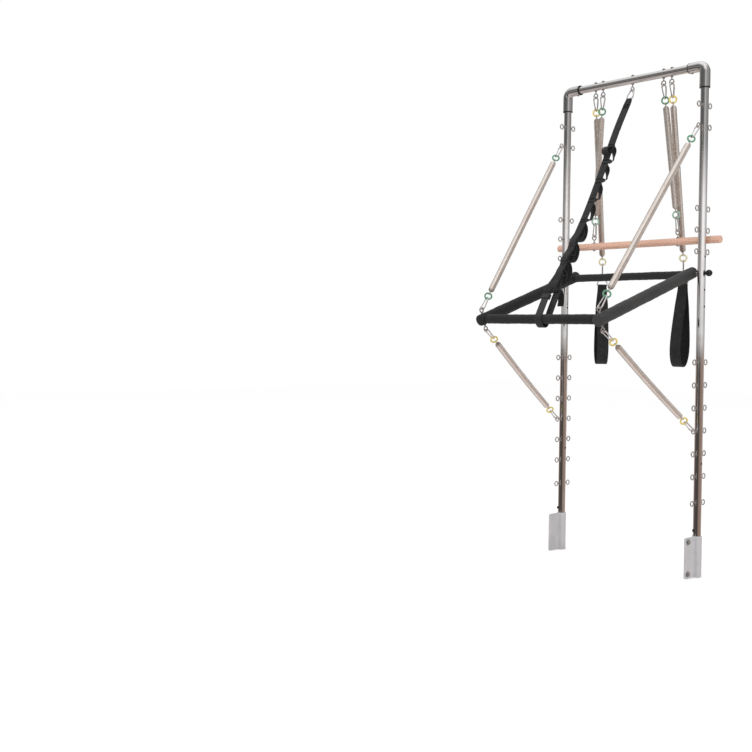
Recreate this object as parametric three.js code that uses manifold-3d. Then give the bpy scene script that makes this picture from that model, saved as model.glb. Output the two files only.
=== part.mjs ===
// Pilates tower unit: two chrome posts in sockets, a crossbar on two elbows, a sprung
// push-through bar with foam sleeves, a wooden roll-down bar and two arm springs with loops.
// Millimetres. +X runs from the left post to the right post, -Y is the front, +Z is up.
// The origin lies midway between the posts, level with the lower ends of the sockets.

import * as THREE from 'three';
import { mergeVertices } from 'three/addons/utils/BufferGeometryUtils.js';
import Module from 'manifold-3d';

const wasm = await Module();
wasm.setup();

// Driving dimensions of the frame
const postSpacing = 700;
const crossbarHeight = 2040;
const tubeRadius = 16;
const tubeWall = 2.5;
const seatGap = 0.3;
const linkGap = 0.4;
const cutOverrun = 2;
const weldTolerance = 0.0005;

// Facet counts
const tubeSides = 16;
const frameSides = 10;
const rodSides = 4;
const holeSides = 6;
const eyeSteps = 7;
const eyeSides = 4;

// Eye bolts and the heights that carry them on each post
const eyeReach = 39;
const eyeRadius = 10;
const eyeWireRadius = 2.5;
const eyeRodRadius = 2.4;
const eyeNutRadius = 6.5;
const eyeNutHeight = 5;
const lowStationHeight = 295;
const middleStations = { height: 401, pitch: 91.5, count: 6 };
const upperStations = { drop: 740, pitch: 85.8, count: 3 };
const topStations = { drop: 242, pitch: 86, count: 2 };

// Sockets that carry the posts
const socketHeight = 163;
const socketWall = 3.7;
const socketFloor = 4;
const socketPlateReach = 83;
const socketPlateThickness = 6;
const socketBoltRadius = 9;
const socketBoltHeight = 6;
const socketBoltInset = 18;
const stopBoltRadius = 6;
const stopBoltReach = 13;
const stopBoltHeight = 187;

// Elbows between the posts and the crossbar
const elbowRadius = 21;
const elbowPostLeg = 88;
const elbowBarLeg = 72;
const elbowBend = 30;
const elbowSocketDepth = 50;
const elbowSteps = 8;
const setScrewRadius = 5;
const setScrewRise = 3;
const setScrewInset = 14;

// Push-through bar
const pivotDrop = 825.5;
const armLength = 601;
const armDropAngle = 18.7;
const armOffset = 300;
const rearBarDistance = 15;
const pushTubeRadius = 11;
const pushTubeWall = 2;
const armFoamRadius = 23.8;
const frontFoamRadius = 19.3;
const rearFoamRadius = 16.5;
const armFoamRearReach = 19;
const foamEndRound = 6;
const foamEndSteps = 2;
const pushEyeUpperReach = 39.5;
const pushEyeLowerReach = 43;
const pivotPinRadius = 5;
const pivotPinClearance = 0.4;
const pivotPinEngagement = 9;
const pivotKnobRadius = 13.5;
const pivotKnobCentre = 384;
const knobSteps = 5;
const adjustmentPitch = 66.5;
const adjustmentHoleRadius = 4.5;
const lowPivotHeight = 454;

// Springs with their rings and snap hooks
const coilRadius = 12.7;
const wireRadius = 1.5;
const coilPitch = 76;
const curlSteps = 8;
const curlSides = 5;
const neckLength = 19;
const neckStraight = 6;
const ringRadius = 13;
const ringWireRadius = 2.5;
const ringSteps = 9;
const ringSides = 4;
const snapLength = 66;
const snapWireRadius = 2.5;
const snapEyeEndRadius = 8.5;
const snapRingEndRadius = 7;
const snapEndSteps = 4;
const snapSides = 4;

// Places along the crossbar, measured from its middle
const innerEyeOffset = 155;
const outerEyeOffset = 194.5;

// Roll-down bar
const rollBarRadius = 15;
const rollBarLength = 830;
const rollBarDrop = 691;
const rollBarEyeOffset = 215;
const rollBarChamfer = 3;

// Arm springs and webbing loops
const armCoilLength = 581;
const leftArmSplay = 1.3;
const rightArmSplay = 0.3;
const springGap = 1;
const deeHeight = 32;
const deeHalfWidth = 22;
const deeSide = 12;
const deeHalfTop = 6;
const deeNeckRadius = 3.5;
const armSnapTurn = 52;
const leftLoopTurn = 50;
const rightLoopTurn = 10;
const loopLength = 353;
const loopOpening = 75;
const loopWidth = 45;
const loopNeckWidth = 38;
const loopNeckShare = 0.3;
const loopThickness = 3;
const loopSlack = 1;
const loopWidestShare = 0.78;
const loopSideSteps = 5;
const loopBottomSteps = 4;

// Safety strap
const strapWidth = 35;
const strapThickness = 5;
const tapeThickness = 3;
const strapEyeRadius = 4.6;
const strapEyeWidth = 5;
const daisyHalfLength = 33;
const daisyBulge = 38;
const daisySteps = 5;
const strapLegTopOffsets = { left: -8, right: 8 };
const strapLegBarOffsets = { left: 4, right: 66 };
const strapTailLength = 76;
const strapTailTilt = 4;

// Places worked out from the driving dimensions
const boreRadius = tubeRadius + seatGap;
const postX = postSpacing / 2;
const upperStationHeight = crossbarHeight - upperStations.drop;
const topStationHeight = crossbarHeight - topStations.drop;
const pivotHeight = crossbarHeight - pivotDrop;
const rollBarHeight = crossbarHeight - rollBarDrop;
const tubeInnerRadius = tubeRadius - tubeWall;
const crossbarEyeHeight = crossbarHeight - eyeReach;
const dropRadians = THREE.MathUtils.degToRad(armDropAngle);
const armDirection = new THREE.Vector3(0, -Math.cos(dropRadians), -Math.sin(dropRadians));
const armNormal = new THREE.Vector3(0, -Math.sin(dropRadians), Math.cos(dropRadians));
const pivotCentre = new THREE.Vector3(0, 0, pivotHeight);
const frontBarCentre = pivotCentre.clone().addScaledVector(armDirection, armLength);
const rollBarY = tubeRadius + rollBarRadius + seatGap;
const axisX = new THREE.Vector3(1, 0, 0);
const axisY = new THREE.Vector3(0, 1, 0);
const axisZ = new THREE.Vector3(0, 0, 1);

// Materials
const chrome = { color: 0xb9b4ae, roughness: 0.16, metalness: 1 };
const nickel = { color: 0xa99c8c, roughness: 0.34, metalness: 1 };
const steel = { color: 0x9c9a96, roughness: 0.3, metalness: 1 };
const foam = { color: 0x373737, roughness: 0.85, metalness: 0 };
const webbing = { color: 0x2b2b2b, roughness: 0.8, metalness: 0 };
const wood = { color: 0xe0b090, roughness: 0.5, metalness: 0 };
const blackPlastic = { color: 0x1c1d1d, roughness: 0.25, metalness: 0 };
const greenCoat = { color: 0x6ea383, roughness: 0.45, metalness: 0 };
const yellowCoat = { color: 0xe6d477, roughness: 0.45, metalness: 0 };

const tower = new THREE.Group();

function addPiece(name, geometry, finish) {
  const mesh = new THREE.Mesh(geometry, new THREE.MeshStandardMaterial(finish));
  mesh.name = name;
  tower.add(mesh);
  return mesh;
}

// Solids that can be joined and cut
function toSolid(geometry) {
  const bare = geometry.clone();
  bare.deleteAttribute('normal');
  bare.deleteAttribute('uv');
  const welded = mergeVertices(bare, weldTolerance);
  const vertProperties = new Float32Array(welded.attributes.position.array);
  const triVerts = new Uint32Array(welded.index.array);
  return new wasm.Manifold(new wasm.Mesh({ numProp: 3, vertProperties, triVerts }));
}

function toGeometry(solid) {
  const mesh = solid.getMesh();
  const geometry = new THREE.BufferGeometry();
  geometry.setAttribute('position', new THREE.Float32BufferAttribute(mesh.vertProperties, 3));
  geometry.setIndex(new THREE.BufferAttribute(new Uint32Array(mesh.triVerts), 1));
  const faceted = geometry.toNonIndexed();
  faceted.computeVertexNormals();
  return faceted;
}

function joinAll(geometries) {
  return geometries.map(toSolid).reduce((whole, piece) => whole.add(piece));
}

function cutAll(solid, geometries) {
  return geometries.map(toSolid).reduce((whole, piece) => whole.subtract(piece), solid);
}

// A rod of any number of sides between two points
function rodBetween(start, end, radius, sides) {
  const span = end.clone().sub(start);
  const rod = new THREE.CylinderGeometry(radius, radius, span.length(), sides);
  const turn = new THREE.Quaternion().setFromUnitVectors(axisY, span.clone().normalize());
  rod.applyQuaternion(turn);
  const middle = start.clone().add(end).multiplyScalar(1 / 2);
  return rod.translate(middle.x, middle.y, middle.z);
}

// A cutting rod whose flats keep the full radius
function boreBetween(start, end, radius, sides) {
  return rodBetween(start, end, radius / Math.cos(Math.PI / sides), sides);
}

// A body turned about a line through start along direction, from [radius, distance] points
function turnedAlong(profile, start, direction, sides) {
  const points = profile.map(([radius, distance]) => new THREE.Vector2(radius, distance));
  const body = new THREE.LatheGeometry(points, sides);
  body.applyQuaternion(new THREE.Quaternion().setFromUnitVectors(axisY, direction));
  return body.translate(start.x, start.y, start.z);
}

function hollowTube(start, direction, length, outerRadius, innerRadius, sides) {
  const profile = [[innerRadius, 0], [outerRadius, 0], [outerRadius, length], [innerRadius, length],
    [innerRadius, 0]];
  return turnedAlong(profile, start, direction, sides);
}

function ringAt(centre, axis, radius, wire, steps, sides) {
  const ring = new THREE.TorusGeometry(radius, wire, sides, steps);
  ring.applyQuaternion(new THREE.Quaternion().setFromUnitVectors(axisZ, axis));
  return ring.translate(centre.x, centre.y, centre.z);
}

function eyeRing(centre, axis) {
  return ringAt(centre, axis, eyeRadius, eyeWireRadius, eyeSteps, eyeSides);
}

// One unbroken tube through a row of points, with flat ends or closed on itself
function tubeThrough(points, radius, sides, closed) {
  const count = points.length;
  const tangents = points.map((point, index) => {
    const before = points[closed ? (index + count - 1) % count : Math.max(index - 1, 0)];
    const after = points[closed ? (index + 1) % count : Math.min(index + 1, count - 1)];
    return after.clone().sub(before).normalize();
  });
  const seed = Math.abs(tangents[0].x) < Math.abs(tangents[0].z) ? axisX : axisZ;
  let side = new THREE.Vector3().crossVectors(tangents[0], seed).normalize();
  const positions = [];
  points.forEach((point, index) => {
    const tangent = tangents[index];
    side = side.clone().addScaledVector(tangent, -side.dot(tangent)).normalize();
    const other = new THREE.Vector3().crossVectors(tangent, side);
    for (let corner = 0; corner < sides; corner += 1) {
      const angle = (2 * Math.PI * corner) / sides;
      const place = point.clone();
      place.addScaledVector(side, radius * Math.cos(angle));
      place.addScaledVector(other, radius * Math.sin(angle));
      positions.push(place.x, place.y, place.z);
    }
  });
  const faces = [];
  const spans = closed ? count : count - 1;
  for (let step = 0; step < spans; step += 1) {
    const here = step * sides;
    const next = ((step + 1) % count) * sides;
    for (let corner = 0; corner < sides; corner += 1) {
      const turn = (corner + 1) % sides;
      faces.push(here + corner, here + turn, next + turn);
      faces.push(here + corner, next + turn, next + corner);
    }
  }
  const last = (count - 1) * sides;
  for (let corner = 1; corner < sides - 1 && !closed; corner += 1) {
    faces.push(0, corner + 1, corner);
    faces.push(last, last + corner, last + corner + 1);
  }
  const geometry = new THREE.BufferGeometry();
  geometry.setAttribute('position', new THREE.Float32BufferAttribute(positions, 3));
  geometry.setIndex(faces);
  geometry.computeVertexNormals();
  return geometry;
}

// Least clear space between parts of one tube that are not next to each other
function leastSelfGap(points, radius, neighbours) {
  let least = Infinity;
  for (let first = 0; first < points.length; first += 1) {
    for (let second = first + neighbours; second < points.length; second += 1) {
      least = Math.min(least, points[first].distanceTo(points[second]));
    }
  }
  return least - 2 * radius;
}

// A flat outline in the plane of across and up, made thick along the third direction
function thickOutline(shape, thickness, across, up, centre) {
  const body = new THREE.ExtrudeGeometry(shape, { depth: thickness, bevelEnabled: false });
  body.translate(0, 0, -thickness / 2);
  const depth = new THREE.Vector3().crossVectors(across, up);
  body.applyMatrix4(new THREE.Matrix4().makeBasis(across, up, depth));
  return body.translate(centre.x, centre.y, centre.z);
}

// Posts with an eye at the front and the back of every station
function stationHeights() {
  const heights = [lowStationHeight];
  const groups = [[middleStations.height, middleStations], [upperStationHeight, upperStations],
    [topStationHeight, topStations]];
  for (const [lowest, group] of groups) {
    for (let index = 0; index < group.count; index += 1) {
      heights.push(lowest + index * group.pitch);
    }
  }
  return heights;
}

function adjustmentHeights() {
  const heights = [lowPivotHeight];
  for (let step = -2; step <= 1; step += 1) {
    heights.push(pivotHeight + step * adjustmentPitch);
  }
  return heights;
}

function makePost(name, side) {
  const foot = new THREE.Vector3(side * postX, 0, socketFloor + seatGap);
  const top = crossbarHeight - elbowPostLeg + elbowSocketDepth - seatGap;
  const tube = hollowTube(foot, axisZ, top - foot.z, tubeRadius, tubeInnerRadius, tubeSides);
  const fittings = [tube];
  for (const height of stationHeights()) {
    const front = new THREE.Vector3(foot.x, -eyeReach, height);
    const back = new THREE.Vector3(foot.x, eyeReach, height);
    for (const [eye, way] of [[front, 1], [back, -1]]) {
      const shankEnd = eye.clone().setY(-way * (tubeRadius - tubeWall / 2));
      const shankStart = eye.clone().addScaledVector(axisY, way * eyeRadius);
      fittings.push(rodBetween(shankStart, shankEnd, eyeRodRadius, rodSides));
    }
    fittings.push(eyeRing(front, axisX));
    fittings.push(eyeRing(back, axisX));
  }
  const stopInner = new THREE.Vector3(foot.x, -tubeInnerRadius - tubeWall / 2, stopBoltHeight);
  const stopOuter = new THREE.Vector3(foot.x, -tubeRadius - stopBoltReach, stopBoltHeight);
  fittings.push(rodBetween(stopInner, stopOuter, stopBoltRadius, holeSides));
  const holes = adjustmentHeights().map((height) => {
    const pivotHere = height === pivotHeight;
    const radius = pivotHere ? pivotPinRadius + pivotPinClearance : adjustmentHoleRadius;
    const reach = tubeRadius + cutOverrun;
    const start = new THREE.Vector3(foot.x - reach, 0, height);
    return boreBetween(start, start.clone().addScaledVector(axisX, 2 * reach), radius, holeSides);
  });
  addPiece(name, toGeometry(cutAll(joinAll(fittings), holes)), chrome);
}

// Sockets with a side plate and two bolt heads
function makeSocket(name, side) {
  const outer = boreRadius + socketWall;
  const foot = new THREE.Vector3(side * postX, 0, 0);
  const profile = [[0, 0], [outer, 0], [outer, socketHeight], [boreRadius, socketHeight],
    [boreRadius, socketFloor], [0, socketFloor]];
  const sleeve = turnedAlong(profile, foot, axisZ, tubeSides);
  const plateStart = boreRadius + socketWall / 2;
  const plateDepth = socketPlateReach - plateStart;
  const plate = new THREE.BoxGeometry(socketPlateThickness, plateDepth, socketHeight);
  plate.translate(foot.x, -plateStart - plateDepth / 2, socketHeight / 2);
  const pieces = [sleeve, plate];
  for (const height of [socketBoltInset, socketHeight - socketBoltInset]) {
    const inner = new THREE.Vector3(foot.x, -socketPlateReach + socketBoltInset, height);
    const outerEnd = inner.clone();
    outerEnd.x += side * (socketPlateThickness / 2 + socketBoltHeight);
    pieces.push(rodBetween(inner, outerEnd, socketBoltRadius, rodSides));
  }
  addPiece(name, toGeometry(joinAll(pieces)), chrome);
}

// Elbows with a socket for the post and one for the crossbar
function makeElbow(name, side) {
  const corner = new THREE.Vector3(side * postX, 0, crossbarHeight);
  const inward = axisX.clone().multiplyScalar(-side);
  const bendLow = corner.clone().addScaledVector(axisZ, -elbowBend);
  const bendIn = corner.clone().addScaledVector(inward, elbowBend);
  const legFoot = corner.clone().addScaledVector(axisZ, -elbowPostLeg);
  const legEnd = corner.clone().addScaledVector(inward, elbowBarLeg);
  const path = new THREE.CurvePath();
  path.add(new THREE.LineCurve3(legFoot, bendLow));
  path.add(new THREE.QuadraticBezierCurve3(bendLow, corner, bendIn));
  path.add(new THREE.LineCurve3(bendIn, legEnd));
  const section = new THREE.Shape();
  for (let index = 0; index < tubeSides; index += 1) {
    const angle = (2 * Math.PI * index) / tubeSides;
    const point = [elbowRadius * Math.cos(angle), elbowRadius * Math.sin(angle)];
    if (index === 0) section.moveTo(...point);
    else section.lineTo(...point);
  }
  const body = new THREE.ExtrudeGeometry(section, { steps: elbowSteps, extrudePath: path });
  const screwFoot = legEnd.clone().addScaledVector(inward, -setScrewInset);
  const screwReach = elbowRadius + setScrewRise;
  const screws = [
    rodBetween(
      screwFoot.clone().addScaledVector(axisZ, -boreRadius),
      screwFoot.clone().addScaledVector(axisZ, -screwReach), setScrewRadius, eyeSteps),
    rodBetween(
      legFoot.clone().addScaledVector(axisZ, setScrewInset).addScaledVector(inward, -boreRadius),
      legFoot.clone().addScaledVector(axisZ, setScrewInset).addScaledVector(inward, -screwReach),
      setScrewRadius, eyeSteps),
  ];
  const bores = [[legFoot, axisZ], [legEnd, inward.clone().negate()]].map(([mouth, into]) => {
    const start = mouth.clone().addScaledVector(into, -cutOverrun);
    const end = mouth.clone().addScaledVector(into, elbowSocketDepth);
    return boreBetween(start, end, boreRadius, tubeSides);
  });
  addPiece(name, toGeometry(cutAll(joinAll([body, ...screws]), bores)), chrome);
}

// Crossbar with five hanging eye bolts and their domed nuts
function makeCrossbar() {
  const reach = postX - elbowBarLeg + elbowSocketDepth - seatGap;
  const start = new THREE.Vector3(-reach, 0, crossbarHeight);
  const pieces = [hollowTube(start, axisX, 2 * reach, tubeRadius, tubeInnerRadius, tubeSides)];
  const offsets = [-outerEyeOffset, -innerEyeOffset, 0, innerEyeOffset, outerEyeOffset];
  for (const offset of offsets) {
    const eye = new THREE.Vector3(offset, 0, crossbarEyeHeight);
    const rodTop = new THREE.Vector3(offset, 0, crossbarHeight + tubeRadius);
    const rodFoot = eye.clone().addScaledVector(axisZ, eyeRadius);
    pieces.push(rodBetween(rodFoot, rodTop, eyeRodRadius, rodSides));
    pieces.push(eyeRing(eye, offset === 0 ? axisX : axisY));
    const nutStart = rodTop.clone().addScaledVector(axisZ, -tubeWall / 2);
    const nut = [[0, 0], [eyeNutRadius, 0], [eyeNutRadius, eyeNutHeight],
      [eyeNutRadius / 2, eyeNutHeight + eyeNutRadius / 2], [0, eyeNutHeight + eyeNutRadius / 2]];
    pieces.push(turnedAlong(nut, nutStart, axisZ, eyeSteps));
  }
  addPiece('crossbar', toGeometry(joinAll(pieces)), chrome);
}

// Push-through bar: a closed frame of tube with four eyes, in four foam sleeves
function armPoint(side, distance) {
  return new THREE.Vector3(side * armOffset, 0, pivotHeight).addScaledVector(armDirection, distance);
}

// The eyes stand off the front corners, the upper pair for above 1 and the lower for -1
function pushEyeCentre(side, above) {
  const reach = above > 0 ? pushEyeUpperReach : pushEyeLowerReach;
  return armPoint(side, armLength).addScaledVector(armNormal, above * reach);
}

function makePushFrame() {
  const bore = pushTubeRadius - pushTubeWall;
  const outers = [];
  const inners = [];
  for (const side of [-1, 1]) {
    const rear = armPoint(side, -pushTubeRadius);
    const front = armPoint(side, armLength + pushTubeRadius);
    outers.push(rodBetween(rear, front, pushTubeRadius, frameSides));
    const openFront = armPoint(side, armLength + pushTubeRadius + cutOverrun);
    inners.push(rodBetween(armPoint(side, -bore), openFront, bore, frameSides));
    const axle = armPoint(side, 0);
    const inner = axle.clone().addScaledVector(axisX, -side * bore);
    const outer = axle.clone().addScaledVector(axisX, side * (pushTubeRadius + cutOverrun));
    inners.push(boreBetween(inner, outer, pivotPinRadius + pivotPinClearance, holeSides));
  }
  for (const distance of [rearBarDistance, armLength]) {
    const left = armPoint(-1, distance);
    const right = armPoint(1, distance);
    outers.push(rodBetween(left, right, pushTubeRadius, frameSides));
    inners.push(rodBetween(left, right, bore, frameSides));
  }
  const hollow = cutAll(joinAll(outers), inners);
  const eyes = [];
  for (const side of [-1, 1]) {
    const upper = pushEyeCentre(side, 1);
    const lower = pushEyeCentre(side, -1);
    const rodTop = upper.clone().addScaledVector(armNormal, -eyeRadius);
    const rodFoot = lower.clone().addScaledVector(armNormal, eyeRadius);
    eyes.push(rodBetween(rodFoot, rodTop, eyeRodRadius, rodSides));
    eyes.push(eyeRing(upper, axisX), eyeRing(lower, axisX));
  }
  addPiece('push_bar_frame', toGeometry(hollow.add(joinAll(eyes))), steel);
}

// A foam sleeve's outline, rounded at both ends
function sleeveProfile(length, radius) {
  const profile = [[0, 0]];
  for (let step = 0; step <= foamEndSteps; step += 1) {
    const angle = (Math.PI / 2) * (step / foamEndSteps);
    profile.push([radius - foamEndRound * (1 - Math.sin(angle)), foamEndRound * (1 - Math.cos(angle))]);
  }
  for (let step = foamEndSteps; step >= 0; step -= 1) {
    const angle = (Math.PI / 2) * (step / foamEndSteps);
    const distance = length - foamEndRound * (1 - Math.cos(angle));
    profile.push([radius - foamEndRound * (1 - Math.sin(angle)), distance]);
  }
  profile.push([0, length]);
  return profile;
}

function makeFoam() {
  const sleeveBore = pushTubeRadius + seatGap;
  const latheBore = sleeveBore / Math.cos(Math.PI / tubeSides);
  const rearFoam = ['rear_foam', rearBarDistance, rearFoamRadius];
  const frontFoam = ['front_foam', armLength, frontFoamRadius];
  const crossFoams = [rearFoam, frontFoam];
  for (const [name, distance, radius] of crossFoams) {
    const reach = armOffset - armFoamRadius - seatGap;
    const start = pivotCentre.clone().addScaledVector(armDirection, distance);
    start.x = -reach;
    const tube = hollowTube(start, axisX, 2 * reach, radius, latheBore, tubeSides);
    addPiece(name, tube, foam);
  }
  for (const [name, side] of [['left_arm_foam', -1], ['right_arm_foam', 1]]) {
    const rear = armPoint(side, -armFoamRearReach);
    const length = armFoamRearReach + armLength + armFoamRadius;
    const outer = turnedAlong(sleeveProfile(length, armFoamRadius), rear, armDirection, tubeSides);
    const end = pushTubeRadius + seatGap;
    const tubeEnds = [armPoint(side, -end), armPoint(side, armLength + end)];
    const cuts = [boreBetween(...tubeEnds, sleeveBore, frameSides)];
    for (const distance of [rearBarDistance, armLength]) {
      const axle = armPoint(side, distance);
      const inside = axle.clone().addScaledVector(axisX, -side * (armFoamRadius + cutOverrun));
      cuts.push(boreBetween(axle, inside, sleeveBore, frameSides));
    }
    const axle = armPoint(side, 0);
    const outside = axle.clone().addScaledVector(axisX, side * (armFoamRadius + cutOverrun));
    cuts.push(boreBetween(axle, outside, pivotPinRadius + pivotPinClearance, holeSides));
    const eyeRodClearance = eyeRodRadius + seatGap;
    cuts.push(boreBetween(pushEyeCentre(side, 1), pushEyeCentre(side, -1), eyeRodClearance, rodSides));
    addPiece(name, toGeometry(cutAll(toSolid(outer), cuts)), foam);
  }
}

// Pivot pins with a ball knob outside each post
function makePivotPin(name, side) {
  const innerEnd = armOffset + pushTubeRadius - pivotPinEngagement;
  const length = pivotKnobCentre - innerEnd;
  const profile = [[0, 0], [pivotPinRadius, 0]];
  const neckAngle = Math.asin(pivotPinRadius / pivotKnobRadius);
  for (let step = 0; step <= knobSteps; step += 1) {
    const angle = neckAngle + (Math.PI - neckAngle) * (step / knobSteps);
    const radius = step === knobSteps ? 0 : pivotKnobRadius * Math.sin(angle);
    profile.push([radius, length - pivotKnobRadius * Math.cos(angle)]);
  }
  const outward = axisX.clone().multiplyScalar(side);
  const start = new THREE.Vector3(side * innerEnd, 0, pivotHeight);
  addPiece(name, turnedAlong(profile, start, outward, frameSides), blackPlastic);
}

// Roll-down bar with two eye bolts through it
function makeRollBar() {
  const half = rollBarLength / 2;
  const start = new THREE.Vector3(-half, rollBarY, rollBarHeight);
  const profile = [[0, 0], [rollBarRadius - rollBarChamfer, 0], [rollBarRadius, rollBarChamfer],
    [rollBarRadius, rollBarLength - rollBarChamfer],
    [rollBarRadius - rollBarChamfer, rollBarLength], [0, rollBarLength]];
  const pieces = [turnedAlong(profile, start, axisX, tubeSides)];
  for (const side of [-1, 1]) {
    const eye = new THREE.Vector3(side * rollBarEyeOffset, rollBarY, rollBarHeight + eyeReach);
    const rodTop = eye.clone().addScaledVector(axisZ, -eyeRadius);
    const rodFoot = new THREE.Vector3(eye.x, rollBarY, rollBarHeight - rollBarRadius - eyeNutHeight);
    pieces.push(rodBetween(rodFoot, rodTop, eyeRodRadius, rodSides));
    pieces.push(eyeRing(eye, axisY));
  }
  addPiece('roll_down_bar', toGeometry(joinAll(pieces)), wood);
}

// A snap hook: a long link whose wider end goes to the eye and narrower end to the ring
function snapPoints(eyeEnd, direction, across) {
  const length = snapLength - 2 * snapWireRadius;
  const points = [];
  for (let step = 0; step <= snapEndSteps; step += 1) {
    const angle = (Math.PI * step) / snapEndSteps;
    points.push([snapEyeEndRadius * Math.cos(angle), snapEyeEndRadius * (1 - Math.sin(angle))]);
  }
  for (let step = 0; step <= snapEndSteps; step += 1) {
    const angle = (Math.PI * step) / snapEndSteps;
    const along = length - snapRingEndRadius * (1 - Math.sin(angle));
    points.push([-snapRingEndRadius * Math.cos(angle), along]);
  }
  return points.map(([wide, along]) => {
    const place = eyeEnd.clone().addScaledVector(direction, along);
    return place.addScaledVector(across, wide);
  });
}

function makeSnap(name, eyeEnd, direction, across) {
  const points = snapPoints(eyeEnd, direction, across);
  addPiece(name, tubeThrough(points, snapWireRadius, snapSides, true), steel);
}

// Distances from an eye's centre along the spring's line
const eyeReachInside = eyeRadius * Math.cos(Math.PI / eyeSteps) - eyeWireRadius;
const ringFlatRadius = ringRadius * Math.cos(Math.PI / ringSteps);
const snapEnterDistance = eyeReachInside - linkGap - snapWireRadius;
const snapLeaveDistance = snapEnterDistance + snapLength - 2 * snapWireRadius;
const ringCentreDistance = snapLeaveDistance - snapWireRadius - linkGap - ringWireRadius + ringFlatRadius;
const springStartDistance = ringCentreDistance + ringRadius + ringWireRadius + seatGap;

function springPoints(length) {
  const coilLength = length - 2 * neckLength;
  const curls = Math.max(2, Math.round(coilLength / coilPitch));
  const centreRadius = coilRadius - wireRadius;
  const flareSteps = curlSteps / 2;
  const points = [[0, 0, 0], [0, 0, neckStraight / 2]];
  const steps = curls * curlSteps + 2 * flareSteps;
  for (let step = 0; step <= steps; step += 1) {
    const fromEnd = Math.min(step, steps - step);
    const share = Math.min(fromEnd / flareSteps, 1);
    const angle = (2 * Math.PI * step) / curlSteps;
    const flareRise = (neckLength - neckStraight) / flareSteps;
    const inFlare = Math.min(step, flareSteps);
    const inCoil = Math.min(Math.max(step - flareSteps, 0), curls * curlSteps);
    const inLastFlare = Math.max(step - flareSteps - curls * curlSteps, 0);
    const height = neckStraight + (inFlare + inLastFlare) * flareRise
      + (inCoil * coilLength) / (curls * curlSteps);
    const radius = centreRadius * share;
    points.push([radius * Math.cos(angle), radius * Math.sin(angle), height]);
  }
  points.push([0, 0, length - neckStraight / 2], [0, 0, length]);
  return points;
}

function makeSpring(name, start, direction, length) {
  const turn = new THREE.Quaternion().setFromUnitVectors(axisZ, direction);
  const points = springPoints(length).map((place) =>
    new THREE.Vector3(...place).applyQuaternion(turn).add(start));
  const gap = leastSelfGap(points, wireRadius, curlSteps / 2);
  console.log(`${name} least gap to itself ${gap.toFixed(2)} mm`);
  addPiece(name, tubeThrough(points, wireRadius, curlSides, false), nickel);
}

function makeRing(name, centre, axis, finish) {
  addPiece(name, ringAt(centre, axis, ringRadius, ringWireRadius, ringSteps, ringSides), finish);
}

// Snap hook, ring, spring, ring and snap hook in a row between two eyes
function makeSpringRow(name, first, second, across, finish) {
  const line = second.clone().sub(first);
  const direction = line.clone().normalize();
  const back = direction.clone().negate();
  const wide = across.clone().addScaledVector(direction, -across.dot(direction)).normalize();
  const snapStart = first.clone().addScaledVector(direction, snapEnterDistance);
  const snapEnd = second.clone().addScaledVector(back, snapEnterDistance);
  makeSnap(`${name}_upper_snap`, snapStart, direction, wide);
  makeRing(`${name}_upper_ring`, first.clone().addScaledVector(direction, ringCentreDistance), wide, finish);
  const start = first.clone().addScaledVector(direction, springStartDistance);
  makeSpring(`${name}_spring`, start, direction, line.length() - 2 * springStartDistance);
  makeRing(`${name}_lower_ring`, second.clone().addScaledVector(back, ringCentreDistance), wide, finish);
  makeSnap(`${name}_lower_snap`, snapEnd, back, wide);
}

function makePushSprings() {
  for (const [word, side] of [['left', -1], ['right', 1]]) {
    const upperPostEye = new THREE.Vector3(side * postX, -eyeReach, topStationHeight);
    const lowerHeight = middleStations.height + 2 * middleStations.pitch;
    const lowerPostEye = new THREE.Vector3(side * postX, -eyeReach, lowerHeight);
    makeSpringRow(`${word}_long`, upperPostEye, pushEyeCentre(side, 1), axisX, greenCoat);
    makeSpringRow(`${word}_short`, pushEyeCentre(side, -1), lowerPostEye, axisX, yellowCoat);
  }
}

function makeRollDownSprings() {
  for (const [word, side] of [['left', -1], ['right', 1]]) {
    const top = new THREE.Vector3(side * innerEyeOffset, 0, crossbarEyeHeight);
    const bottom = new THREE.Vector3(side * rollBarEyeOffset, rollBarY, rollBarHeight + eyeReach);
    makeSpringRow(`${word}_roll_down`, top, bottom, axisY, greenCoat);
  }
}

// Arm springs lean back behind the roll-down springs and carry a webbing loop each
// Slopes are measured along a drop of one, and the springs just pass each other.
const rollSpringDrop = crossbarEyeHeight - rollBarHeight - eyeReach;
const rollSpringSpread = (rollBarEyeOffset - innerEyeOffset) / rollSpringDrop;
const rollSpringLean = rollBarY / rollSpringDrop;

function armSpringDirection(side, splayDegrees) {
  const splay = Math.tan(THREE.MathUtils.degToRad(splayDegrees));
  const eyeGap = outerEyeOffset - innerEyeOffset;
  const apart = 2 * coilRadius + springGap;
  const extraLean = (apart * (rollSpringSpread - splay)) / Math.sqrt(eyeGap ** 2 - apart ** 2);
  return new THREE.Vector3(side * splay, rollSpringLean + extraLean, -1).normalize();
}

function turnedAcross(degrees) {
  const angle = THREE.MathUtils.degToRad(degrees);
  return new THREE.Vector3(Math.cos(angle), Math.sin(angle), 0);
}

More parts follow.
